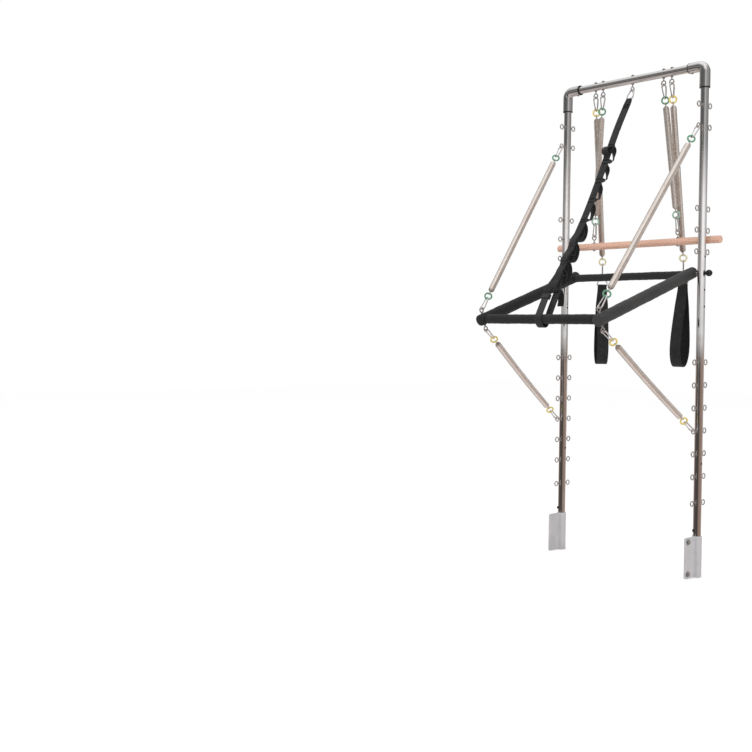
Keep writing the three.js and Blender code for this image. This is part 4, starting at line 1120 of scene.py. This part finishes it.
# Push springs: on each side a long one with green rings, from the post's second eye from the
# top down to the push-through bar, and a short one with yellow rings, from the bar down to a
# lower eye.
upper_station = station_heights[-2]
lower_station = station_heights[3]
push_springs = [("long", 1, upper_station, green_coat, "upper", "lower"),
                ("short", -1, lower_station, yellow_coat, "lower", "upper")]
for word, side in sides_words:
    for size, above, station, coat, post_end, bar_end in push_springs:
        name = f"{word}_{size}"
        post_eye = Vector((side * post_x, -eye_reach, station))
        bar_eye = push_eye(side, above)
        run = (bar_eye - post_eye).normalized()
        ring_and_hook(f"{name}_post", post_eye, run, axis_x, coat, f"{name}_post_link",
                      f"{name}_{post_end}_snap", f"{name}_{post_end}_ring")
        ring_and_hook(f"{name}_bar", bar_eye, -run, axis_x, coat, f"{name}_bar_link",
                      f"{name}_{bar_end}_snap", f"{name}_{bar_end}_ring")
        first = post_eye + run * (spring_start + stub_length)
        last = bar_eye - run * (spring_start + stub_length)
        length = (last - first).length
        if size == "long":
            coil = make_piece(f"{name}_coil", [wound_coil(first, run, length)], spring_nickel)
            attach(coil, f"{name}_post_link")
            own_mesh(coil)
        else:
            shape = wound_coil(first, run, length, short_sag)
            coil = make_piece(f"{name}_coil_wire", [shape], spring_nickel)
            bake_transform(coil)
        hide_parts(f"{name}_spring")
        for end, eye, way in (("post", post_eye, run), ("bar", bar_eye, -run)):
            near = eye + way * (ring_distance + coil_ring)
            stub = make_piece(f"{name}_{end}_stub", end_stub(near, way, axis_x), hook_steel)
            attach(stub, f"{name}_{end}_link")

# Roll-down springs: two springs with green rings that carry the wooden rod from the
# crossbar's inner eyes.
for word, side in sides_words:
    top_eye = Vector((side * eye_offsets[3], 0, elbow_height - eye_reach))
    rod_top = Vector((side * rod_eye, rod_y, rod_height + eye_reach))
    run = (rod_top - top_eye).normalized()
    ring_and_hook(f"{word}_roll_down_top", top_eye, run, axis_y, green_coat, "roll_down_set",
                  f"{word}_roll_down_upper_snap", f"{word}_roll_down_upper_ring", pear_wide)
    ring_and_hook(f"{word}_roll_down_foot", rod_top, -run, axis_y, pale_green_coat, "roll_down_set",
                  f"{word}_roll_down_lower_snap", f"{word}_roll_down_lower_ring")
    first = top_eye + run * (spring_start + stub_length)
    last = rod_top - run * (spring_start + stub_length)
    stubs = []
    for eye, way in ((top_eye, run), (rod_top, -run)):
        stubs += [(*shape, 1) for shape in end_stub(eye + way * (ring_distance + coil_ring), way, axis_y)]
    coil = make_piece(f"{word}_roll_down_coil", [wound_coil(first, run, (last - first).length)] + stubs,
                      spring_nickel, hook_steel)
    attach(coil, "roll_down_set")
    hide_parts(f"{word}_roll_down_spring")

# Arm springs: two springs with yellow rings that hang behind the others from the
# crossbar's outer eyes. Each ends in a paler ring that its webbing loop's hook hangs from.
for word, side in sides_words:
    top_eye = Vector((side * eye_offsets[4], 0, elbow_height - eye_reach))
    ring_boxes = [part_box(f"{word}_arm_{end}_ring") for end in ("upper", "lower")]
    ring_middles = [(Vector(low) + Vector(high)) / 2 for low, high in ring_boxes]
    run = (ring_middles[1] - ring_middles[0]).normalized()
    ring_and_hook(f"{word}_arm_top", top_eye, run, axis_y, yellow_coat, f"{word}_arm_set",
                  f"{word}_arm_upper_snap", f"{word}_arm_upper_ring", pear_wide)
    lower_centre = top_eye + run * (ring_distance + (ring_middles[1] - ring_middles[0]).length)
    ring = make_piece(f"{word}_arm_foot_ring",
                      [ring_of(lower_centre, ring_axis(run), coil_ring, ring_wire, 48, 16)], pale_coat)
    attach(ring, f"{word}_arm_set")
    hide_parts(f"{word}_arm_lower_ring")
    first = top_eye + run * (spring_start + stub_length)
    last = lower_centre - run * (spring_start - ring_distance + stub_length)
    stubs = [(*shape, 1) for shape in end_stub(top_eye + run * (ring_distance + coil_ring), run, axis_y)]
    stubs += [(*shape, 1) for shape in end_stub(lower_centre - run * coil_ring, -run, axis_y)]
    coil = make_piece(f"{word}_arm_coil", [wound_coil(first, run, (last - first).length)] + stubs,
                      spring_nickel, hook_steel)
    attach(coil, f"{word}_arm_set")
    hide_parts(f"{word}_arm_spring")

# Arm loops: a snap hook on each arm spring's ring carries a steel dee, and a band of black
# webbing hangs from the dee. The band narrows towards the dee, has painted shade on its
# inner face and is stitched along both edges.
dee_height = 0.032
dee_half_width = 0.022
dee_half_top = 0.006
dee_side = 0.012
dee_neck = 0.0035
loop_snap_turn = math.radians(52)
loop_turns = {"left": math.radians(50), "right": math.radians(6)}
loop_drifts = {"left": Vector((0, 0, 0)), "right": Vector((-0.008, -0.009, 0))}
loop_length = 0.353
loop_opening = 0.080
loop_band = 0.049
loop_neck = 0.038
loop_neck_share = 0.30
loop_widest = 0.78
loop_thickness = 0.0028
loop_slack = 0.001
stitch_start = 0.02
stitch_inset = 0.0045
dee_wire = 0.0021
dee_corner = 0.004
dee_shoulder = 0.006
thread_rise = 0.0002
weave_pitch = 0.0026
rib_pitch = 0.0031


def webbing_finish(name, light, dark):
    """Woven tape: ribs along it, a herringbone of weft across them, some fluff and dust, and painted shade in
    the dips of the weave.
    """
    finish, tree, shader = new_finish(name, Sheen_Weight=0.12, Sheen_Roughness=0.5, Specular_IOR_Level=0.3)
    weave = add_node(tree, "UVMap", uv_map="weave")
    split = add_node(tree, "SeparateXYZ", in_0=weave)
    across = work_out(tree, "MULTIPLY", split.outputs["X"], 2 * math.pi / rib_pitch)
    ribs = work_out(tree, "SINE", across)
    zigzag = work_out(tree, "PINGPONG", split.outputs["X"], rib_pitch)
    slanted = work_out(tree, "ADD", split.outputs["Y"], zigzag)
    picks = work_out(tree, "MULTIPLY", slanted, 2 * math.pi / weave_pitch)
    weft = work_out(tree, "SINE", picks)
    relief = work_out(tree, "MULTIPLY_ADD", weft, 0.5, ribs)
    place = add_node(tree, "TexCoord")
    dust = noise(tree, place.outputs["Object"], 38, 6, 0.65)
    shade = colour_ramp(tree, dust, [(0.35, dark), (0.68, light)])
    # Painted shade and light: the colour darkens where the weave's relief dips and lightens on its crests.
    groove_shade = rescale(tree, relief, -1.5, 1.5, 0.62, 1.12)
    shaded = mix_colours(tree, 1.0, shade, groove_shade, "MULTIPLY")
    rough = rescale(tree, relief, -1.5, 1.5, 0.86, 0.58)
    threads = add_node(tree, "Bump", in_Height=relief, in_Strength=0.6, in_Distance=0.0003)
    cover(tree, shader, shaded, rough, threads)
    return finish


def thread_finish(name, light, dark):
    finish, tree, shader = new_finish(name)
    place = add_node(tree, "TexCoord")
    twist = add_node(tree, "TexWave", in_Vector=place.outputs["Object"], in_Scale=420, in_Distortion=1.5)
    shade = colour_ramp(tree, twist.outputs["Fac"], [(0.2, dark), (0.9, light)])
    rough = rescale(tree, twist.outputs["Fac"], 0, 1, 0.7, 0.5)
    cover(tree, shader, shade, rough)
    return finish


def smooth_route(points, spacing):
    """Evenly spaced points on a smooth line through the given ones."""
    points = [np.array(tuple(point), float) for point in points]
    padded_points = [2 * points[0] - points[1], *points, 2 * points[-1] - points[-2]]
    fine = []
    for index in range(1, len(padded_points) - 2):
        p0, p1, p2, p3 = padded_points[index - 1:index + 3]
        for step in range(24):
            t = step / 24
            fine.append(0.5 * (2 * p1 + (p2 - p0) * t + (2 * p0 - 5 * p1 + 4 * p2 - p3) * t ** 2
                               + (3 * p1 - p0 - 3 * p2 + p3) * t ** 3))
    fine.append(points[-1])
    fine = np.array(fine)
    lengths = np.concatenate([[0], np.cumsum(np.linalg.norm(np.diff(fine, axis=0), axis=1))])
    count = max(2, round(lengths[-1] / spacing))
    wanted = np.linspace(0, lengths[-1], count + 1)
    return np.stack([np.interp(wanted, lengths, fine[:, axis]) for axis in range(3)], axis=1)


def lie_flat(across, tangents):
    """The tape's width and its face, square to the direction that it runs in."""
    across = np.broadcast_to(np.array(across, float), tangents.shape)
    flat = across - tangents * (across * tangents).sum(1)[:, None]
    flat /= np.linalg.norm(flat, axis=1, keepdims=True)
    return flat, np.cross(tangents, flat)


def band(route, across, width, thickness, closed=False, lining=0):
    """Woven tape along a route: (points, faces, finishes, weave places), with rounded edges."""
    route = np.array([tuple(point) for point in route], float)
    count = len(route)
    width = np.broadcast_to(np.asarray(width, float), (count,))
    tangents = headings(route, closed)
    flat, out = lie_flat(across, tangents)
    half = thickness / 2
    section = []
    for turn in (math.pi / 2 - math.pi * step / 4 for step in range(5)):
        section.append((1, -half * (1 - math.cos(turn)), half * math.sin(turn)))
    section.append((0.33, 0, -half))
    section.append((-0.33, 0, -half))
    for turn in (-math.pi / 2 - math.pi * step / 4 for step in range(5)):
        section.append((-1, half * (1 + math.cos(turn)), half * math.sin(turn)))
    section.append((-0.33, 0, half))
    section.append((0.33, 0, half))
    steps = np.linalg.norm(np.diff(route, axis=0), axis=1)
    travelled = np.concatenate([[0], np.cumsum(steps)])
    points, places = [], []
    for index in range(count):
        for share, inset, rise in section:
            side = share * width[index] / 2 + inset
            points.append(tuple(route[index] + flat[index] * side + out[index] * rise))
            places.append((side, travelled[index]))
    faces = swept_faces(count, len(section), closed)
    # Faces along the tape's under side take the finish number given for the inner face, which the arm loops
    # use for painted shade.
    numbers = [lining if 4 <= corner <= 6 else 0 for corner in range(len(section))] * count
    if not closed:
        numbers = numbers[:len(faces) - 2] + [0, 0]
    return points, faces, numbers, places


def stitches(route, across, offset, rise, pitch=0.0032, thread=0.0005):
    """A row of stitches along a route, beside its middle by the offset and above it by the rise."""
    route = np.array([tuple(point) for point in route], float)
    flat, out = lie_flat(across, headings(route))
    line = route + flat * offset + out * rise
    lengths = np.concatenate([[0], np.cumsum(np.linalg.norm(np.diff(line, axis=0), axis=1))])
    shapes = []
    for index in range(int(lengths[-1] / pitch)):
        stitch = []
        for step in range(5):
            at = (index + 0.12 + 0.76 * step / 4) * pitch
            point = np.array([np.interp(at, lengths, line[:, axis]) for axis in range(3)])
            lift = np.array([np.interp(at, lengths, out[:, axis]) for axis in range(3)])
            sink = thread * 0.9 * (abs(step - 2) / 2) ** 2
            stitch.append(point - lift * sink * math.copysign(1, rise))
        shapes.append((*drawn(stitch, thread, 6), 1))
    return shapes


def make_webbing(name, shapes, *finishes):
    """One object from tapes and stitches, with the tapes' weave places as its UV map."""
    piece = make_piece(name, [shape[:3] for shape in shapes], *finishes, crisp=60)
    places = []
    for shape in shapes:
        places.extend(shape[3] if len(shape) > 3 else [(0, 0)] * len(shape[0]))
    layer = piece.data.uv_layers.new(name="weave")
    corners = np.empty(len(piece.data.loops), dtype=np.int32)
    piece.data.loops.foreach_get("vertex_index", corners)
    layer.data.foreach_set("uv", np.array(places, float)[corners].ravel())
    return piece


webbing = webbing_finish("webbing", (0.03276, 0.03198, 0.03198, 1), (0.01716, 0.01716, 0.01794, 1))
# A darker copy of the webbing: painted shade for the inner face of the arm loops.
shaded_webbing = webbing_finish("webbing_lining", (0.012, 0.012, 0.012, 1), (0.006, 0.006, 0.006, 1))
dee_steel = metal_finish("dee_steel", (0.97, 0.96, 0.95), (0.90, 0.89, 0.88), 0.42, 0.08, 0.005)
black_thread = thread_finish("black_thread", (0.055, 0.054, 0.053, 1), (0.018, 0.018, 0.018, 1))


def eased(share):
    """A share from 0 to 1 that starts and ends gently."""
    return share * share * (3 - 2 * share)


def loop_route(dee_foot, opening_way):
    """The closed line of a hanging loop, from its top round by one side."""
    inner_top = snap_wire + loop_slack
    top_radius = inner_top + loop_thickness / 2
    half = (loop_opening - loop_thickness) / 2
    length = loop_length - loop_thickness
    widest = length * loop_widest
    side = []
    for step in range(41):
        share = step / 40
        wide = top_radius + (half - top_radius) * eased(share)
        side.append((wide, top_radius + (widest - top_radius) * share))
    for step in range(1, 21):
        turn = math.pi / 2 * step / 20
        side.append((half * math.cos(turn), widest + (length - widest) * math.sin(turn)))
    crown = [(top_radius * math.sin(turn), top_radius * (1 - math.cos(turn)))
             for turn in (math.pi / 2 * step / 6 for step in range(6))]
    right = crown + side
    left = [(-wide, down) for wide, down in reversed(right[1:-1])]
    top = Vector(dee_foot) + axis_z * top_radius
    return [top + opening_way * wide - axis_z * down for wide, down in right + left]


for word, side in sides_words:
    hook_low, hook_high = (Vector(corner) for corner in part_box(f"{word}_arm_loop_snap"))
    hook_top = Vector(((hook_low.x + hook_high.x) / 2, (hook_low.y + hook_high.y) / 2,
                       hook_high.z - snap_wire))
    link_foot = hook_top.z - snap_length + 2 * snap_wire
    dee_top = link_foot - 2 * snap_wire
    dee_foot = dee_top - dee_height
    snap_way = Vector((math.cos(loop_snap_turn), -math.sin(loop_snap_turn), 0))
    band_way = Vector((math.cos(loop_turns[word]), math.sin(loop_turns[word]), 0))
    opening_way = band_way.cross(axis_z).normalized()
    shapes = snap_hook(hook_top, -axis_z, snap_way)
    bends = [(0, dee_foot), (dee_half_width - dee_corner, dee_foot), (dee_half_width, dee_foot + dee_corner),
             (dee_half_width, dee_foot + dee_side), (dee_half_top + dee_shoulder, dee_top - dee_shoulder),
             (dee_half_top, dee_top - 0.0015), (0, dee_top)]
    dee = [hook_top.xy.to_3d() + axis_z * height + band_way * wide for wide, height in bends]
    mirrored_dee = [hook_top.xy.to_3d() * 2 + axis_z * (2 * point.z) - point for point in dee[-2:0:-1]]
    shapes.append((*drawn(dee + mirrored_dee, dee_wire, 14, closed=True), 1))
    swivel = Vector((hook_top.x, hook_top.y, dee_top))
    shapes.append(turned([(0, -0.002), (0.0030, -0.002), (dee_neck, -0.001), (dee_neck, 0.0018),
                          (0.0024, 0.0024), (0.0024, 0.0042), (dee_neck, 0.0048), (0.0030, 0.0062),
                          (0, 0.0062)], swivel, axis_z, 24))
    hook = make_piece(f"{word}_arm_loop_hook_and_dee", shapes, hook_steel, dee_steel)
    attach(hook, f"{word}_arm_loop_set")
    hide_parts(f"{word}_arm_loop_snap")

    route = loop_route(Vector((hook_top.x, hook_top.y, dee_foot)), opening_way)
    top = route[0].z
    route = [point + loop_drifts[word] * ((top - point.z) / loop_length) for point in route]
    widths = []
    for point in route:
        share = min(1, (top - point.z) / (loop_length * loop_neck_share))
        widths.append(loop_neck + (loop_band - loop_neck) * eased(share))
    # The loop's inner face takes the darker webbing as painted shade.
    shapes = [band(route, band_way, widths, loop_thickness, closed=True, lining=2)]
    for beside in (-0.5, 0.5):
        line = [point for point in route if stitch_start < top - point.z]
        inset = [width * beside - math.copysign(stitch_inset, beside)
                 for point, width in zip(route, widths) if stitch_start < top - point.z]
        shapes += stitches([point + band_way * across for point, across in zip(line, inset)], band_way, 0,
                           loop_thickness / 2 + thread_rise)
    loop = make_webbing(f"{word}_arm_loop_band", shapes, webbing, black_thread, shaded_webbing)
    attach(loop, f"{word}_arm_loop_set")
    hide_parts(f"{word}_arm_loop")

# Safety strap: black webbing that hangs from the crossbar's middle eye by a snap hook. A
# second tape is bar-tacked along it into loops. Below them the strap parts into two legs
# round the push-through bar, with a slack turn under the bar and a loose tail.
strap_width = 0.035
tape_thickness = 0.0025
strap_hook_top = 0.0100
strap_hook_foot = 0.0150
strap_hook_length = snap_length - 0.011
back_tape_width = strap_width - 0.001
loop_tape_width = strap_width - 0.002
gathered_width = 0.0235
gather_end = 0.022
strap_points = [(-0.029, 1.941), (-0.092, 1.836), (-0.152, 1.720), (-0.222, 1.581), (-0.292, 1.452),
                (-0.364, 1.338), (-0.426, 1.246), (-0.466, 1.172), (-0.484, 1.132)]
first_back_loop = 0.165
# Each loop: its middle as a share of the strap, half its length, its rise and its twist
back_loops = [
    (0.287, 0.032, 0.039, 42), (0.385, 0.031, 0.038, 40), (0.485, 0.033, 0.036, 34),
    (0.588, 0.036, 0.036, 26), (0.695, 0.041, 0.037, 4), (0.800, 0.043, 0.038, -16),
    (0.903, 0.052, 0.047, -24)]
inner_loops = [
    (0.706, 0.027, 0.018, -6), (0.790, 0.024, 0.015, -20), (0.822, 0.026, 0.022, -24),
    (0.892, 0.026, 0.020, -26), (0.930, 0.032, 0.030, -30)]
front_loops = [
    (0.283, 0.019, 0.026, 8), (0.742, 0.022, 0.005, 0), (0.835, 0.024, 0.006, 0), (0.915, 0.024, 0.005, 0),
    (0.968, 0.018, 0.006, 0)]
front_leg_start = 0.080
front_leg_top = -0.032
front_leg_foot = 0.011
back_leg_top = 0.010
back_leg_foot = 0.020
back_leg_set_back = 0.008
leg_seat = 0.0003
slack_sag = 0.011
tail_length = 0.058
keeper_height = 0.024
tack_reach = 0.0022
tack_thread = 0.00045
tack_gap = 0.006
tape_step = 0.004
loop_droop = 0.006
wrap_gap = 0.0005
lay = tape_thickness + 0.0002

strap_eye = Vector((0, 0, elbow_height - eye_reach))
strap_run = (Vector((0, *strap_points[0])) - strap_eye).normalized()
hook_foot = strap_eye + strap_run * (snap_enter + strap_hook_length - 2 * snap_wire)
shapes = snap_hook(strap_eye + strap_run * snap_enter, strap_run, axis_x, strap_hook_top, strap_hook_foot,
                   strap_hook_length)
strap_hook = make_piece("strap_hook", shapes, hook_steel)
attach(strap_hook, "frame")
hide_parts("strap_snap")

strap_line = smooth_route([hook_foot] + [Vector((0, y, z)) for y, z in strap_points[1:]], tape_step)
strap_lengths = np.concatenate([[0], np.cumsum(np.linalg.norm(np.diff(strap_line, axis=0), axis=1))])
strap_total = strap_lengths[-1]


def strap_frame(distance):
    """The strap's middle, its own direction and the direction out of its back, at a distance."""
    distance = min(max(distance, 0), strap_total)
    ends = []
    for step in (-tape_step, 0, tape_step):
        near = min(max(distance + step, 0), strap_total)
        ends.append(np.array([np.interp(near, strap_lengths, strap_line[:, axis]) for axis in range(3)]))
    along = ends[2] - ends[0]
    along /= np.linalg.norm(along)
    return Vector(ends[1]), Vector(along), Vector((0, -along[2], along[1]))


def strap_at(distance, behind, beside=0.0):
    place, _, out = strap_frame(distance)
    return place + out * behind + axis_x * beside


def loop_of_tape(loop, face):
    """Points and width directions of one loop of tape on the strap's back (1) or front (-1)."""
    share, half, rise, twist = loop
    middle = share * strap_total
    points, ways = [], []
    for step in range(1, 28):
        turn = math.pi * step / 28
        distance = middle - half * math.cos(turn) + loop_droop * math.sin(turn) ** 2
        _, _, out = strap_frame(distance)
        lift = lay * 0.5 if face > 0 else lay * 1.5
        points.append(strap_at(distance, face * (lift + (rise - 0.001) * math.sin(turn) ** 0.85)))
        angle = math.radians(twist) * math.sin(turn) ** 1.5
        ways.append(axis_x * math.cos(angle) - out * math.sin(angle))
    return points, ways


def gathered(distance):
    """The strap's width, drawn in where it goes round its hook."""
    share = min(1, max(0, distance) / gather_end)
    return gathered_width + (strap_width - gathered_width) * eased(share)


def stand_off(distance, face):
    """How far a face's tape stands off near the hook, where the fold goes round the wire."""
    share = min(1, distance / gather_end)
    return face * (wrap_radius + (0.5 * lay - wrap_radius) * eased(share))


wrap_radius = snap_wire + wrap_gap + tape_thickness / 2
_, _, fold_way = strap_frame(0)
fold = [hook_foot - strap_run * (wrap_radius * math.sin(turn)) - fold_way * (wrap_radius * math.cos(turn))
        for turn in (math.pi * step / 12 for step in range(13))]
front_steps = [strap_total * step / 230 for step in range(1, 231)]
back_steps = [first_back_loop * step / 40 for step in range(1, 41)]
route = [strap_at(distance, stand_off(distance, -1)) for distance in reversed(front_steps)] + fold
route += [strap_at(distance, stand_off(distance, 1)) for distance in back_steps]
widths = [gathered(distance) for distance in reversed(front_steps)] + [gathered_width] * len(fold)
widths += [gathered(distance) for distance in back_steps]
shapes = [band(route, axis_x, widths, tape_thickness)]
points, ways, reached = [], [], first_back_loop + tape_step
for loop in back_loops:
    start = loop[0] * strap_total - loop[1]
    for distance in np.arange(reached, start - tape_step / 2, tape_step):
        points.append(strap_at(distance, 0.5 * lay))
        ways.append(axis_x)
    loop_points, loop_ways = loop_of_tape(loop, 1)
    points += loop_points
    ways += loop_ways
    reached = loop[0] * strap_total + loop[1] + tape_step / 2
for distance in np.arange(reached, strap_total, tape_step):
    points.append(strap_at(distance, 0.5 * lay))
    ways.append(axis_x)
shapes.append(band(points, [tuple(way) for way in ways], back_tape_width, tape_thickness))
for loop, face in [(loop, -1) for loop in front_loops] + [(loop, 1) for loop in inner_loops]:
    points, ways = loop_of_tape(loop, face)
    share, half = loop[:2]
    rest = -1.5 * lay if face < 0 else 0.5 * lay
    lead = [strap_at(share * strap_total - half - step * tape_step, rest) for step in (2, 1, 0)]
    trail = [strap_at(share * strap_total + half + step * tape_step, rest) for step in range(3)]
    ways = [axis_x] * 3 + ways + [axis_x] * 3
    shapes.append(band(lead + points + trail, [tuple(way) for way in ways], loop_tape_width, tape_thickness))
strap = make_webbing("safety_strap_tape", shapes, webbing, black_thread)
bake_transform(strap)
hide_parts("safety_strap")


def bar_tack(distance, rises, width):
    """A dense zigzag of thread across the strap, on each of the given faces."""
    tacks = []
    for rise in rises:
        zigzag = [strap_at(distance + tack_reach * (1 if step % 2 else -1), rise, width * (step / 44 - 0.5))
                  for step in range(45)]
        tacks.append((*drawn(zigzag, tack_thread, 6), 1))
    return tacks


tack_rise = lay + thread_rise
tack_width = strap_width - 0.008
shapes = []
for share, half, _, _ in back_loops:
    for end in (-1, 1):
        shapes += bar_tack(share * strap_total + end * (half + tack_gap), (-tack_rise, tack_rise), tack_width)
for distance in (0.030, 0.038, 0.046):
    shapes += bar_tack(distance, (-tack_rise, tack_rise), tack_width)
stitching = make_piece("safety_strap_bar_tacks", shapes, black_thread, black_thread)
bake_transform(stitching)

front_bar = arm_point(0, arm_length)
fork = Vector((0, *strap_points[-1]))
leg_radius = front_foam_radius + leg_seat + tape_thickness / 2
reach = fork - front_bar
towards = math.atan2(reach.z, reach.y)
half_turn = math.acos(leg_radius / reach.length)
front_top = fork + axis_x * front_leg_top
back_top = fork + Vector((back_leg_top, back_leg_set_back, -0.002))
turn_of_tape = []
for step in range(49):
    share = step / 48
    turn = towards + half_turn + (2 * math.pi - 2 * half_turn) * share
    slack = slack_sag * max(0, -math.sin(turn)) ** 1.5
    turn_of_tape.append(Vector((front_leg_foot + (back_leg_foot - front_leg_foot) * share,
                                front_bar.y + leg_radius * math.cos(turn),
                                front_bar.z + leg_radius * math.sin(turn) - slack)))
front_leg = [front_top.lerp(turn_of_tape[0], step / 24) for step in range(24)]
back_leg = [turn_of_tape[-1].lerp(back_top, step / 24) for step in range(1, 25)]
shapes = [band(front_leg + turn_of_tape + back_leg, axis_x, strap_width, tape_thickness)]
for top, lays, aside, bend in ((front_top, -2.5, front_leg_top, 1.2), (back_top, 1.5, back_leg_top, 1)):
    rise = [strap_at(strap_total - front_leg_start * step / 20, lays * lay, aside * (1 - step / 20) ** bend)
            for step in range(21)]
    shapes.append(band([top.lerp(rise[0], 0.5)] + rise, axis_x, back_tape_width, tape_thickness))
keeper_middle = front_top.lerp(turn_of_tape[0], 0.20)
along = (turn_of_tape[0] - front_top).normalized()
square = along.cross(axis_x).normalized()
keeper = rounded_rectangle(-strap_width / 2 - 0.003, strap_width / 2 + 0.003, -0.0035, 0.0070, 0.003, 4)
shapes.append(band([keeper_middle + axis_x * a - square * b for a, b in keeper], along, keeper_height,
                   tape_thickness, closed=True))
hang = back_leg_top
tail_line = [(hang, 0.002, 0.006), (hang, 0.014, 0.008), (hang + 0.001, 0.024, 0.0),
             (hang + 0.002, 0.029, -0.018), (hang + 0.002, 0.030, -0.040),
             (hang + 0.002, 0.026, -tail_length)]
tail = smooth_route([fork + Vector(point) for point in tail_line], 0.003)
shapes.append(band(tail, axis_x, strap_width - 0.004, tape_thickness))
legs = make_webbing("safety_strap_legs_and_tail", shapes, webbing, black_thread)
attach(legs, "push_bar")
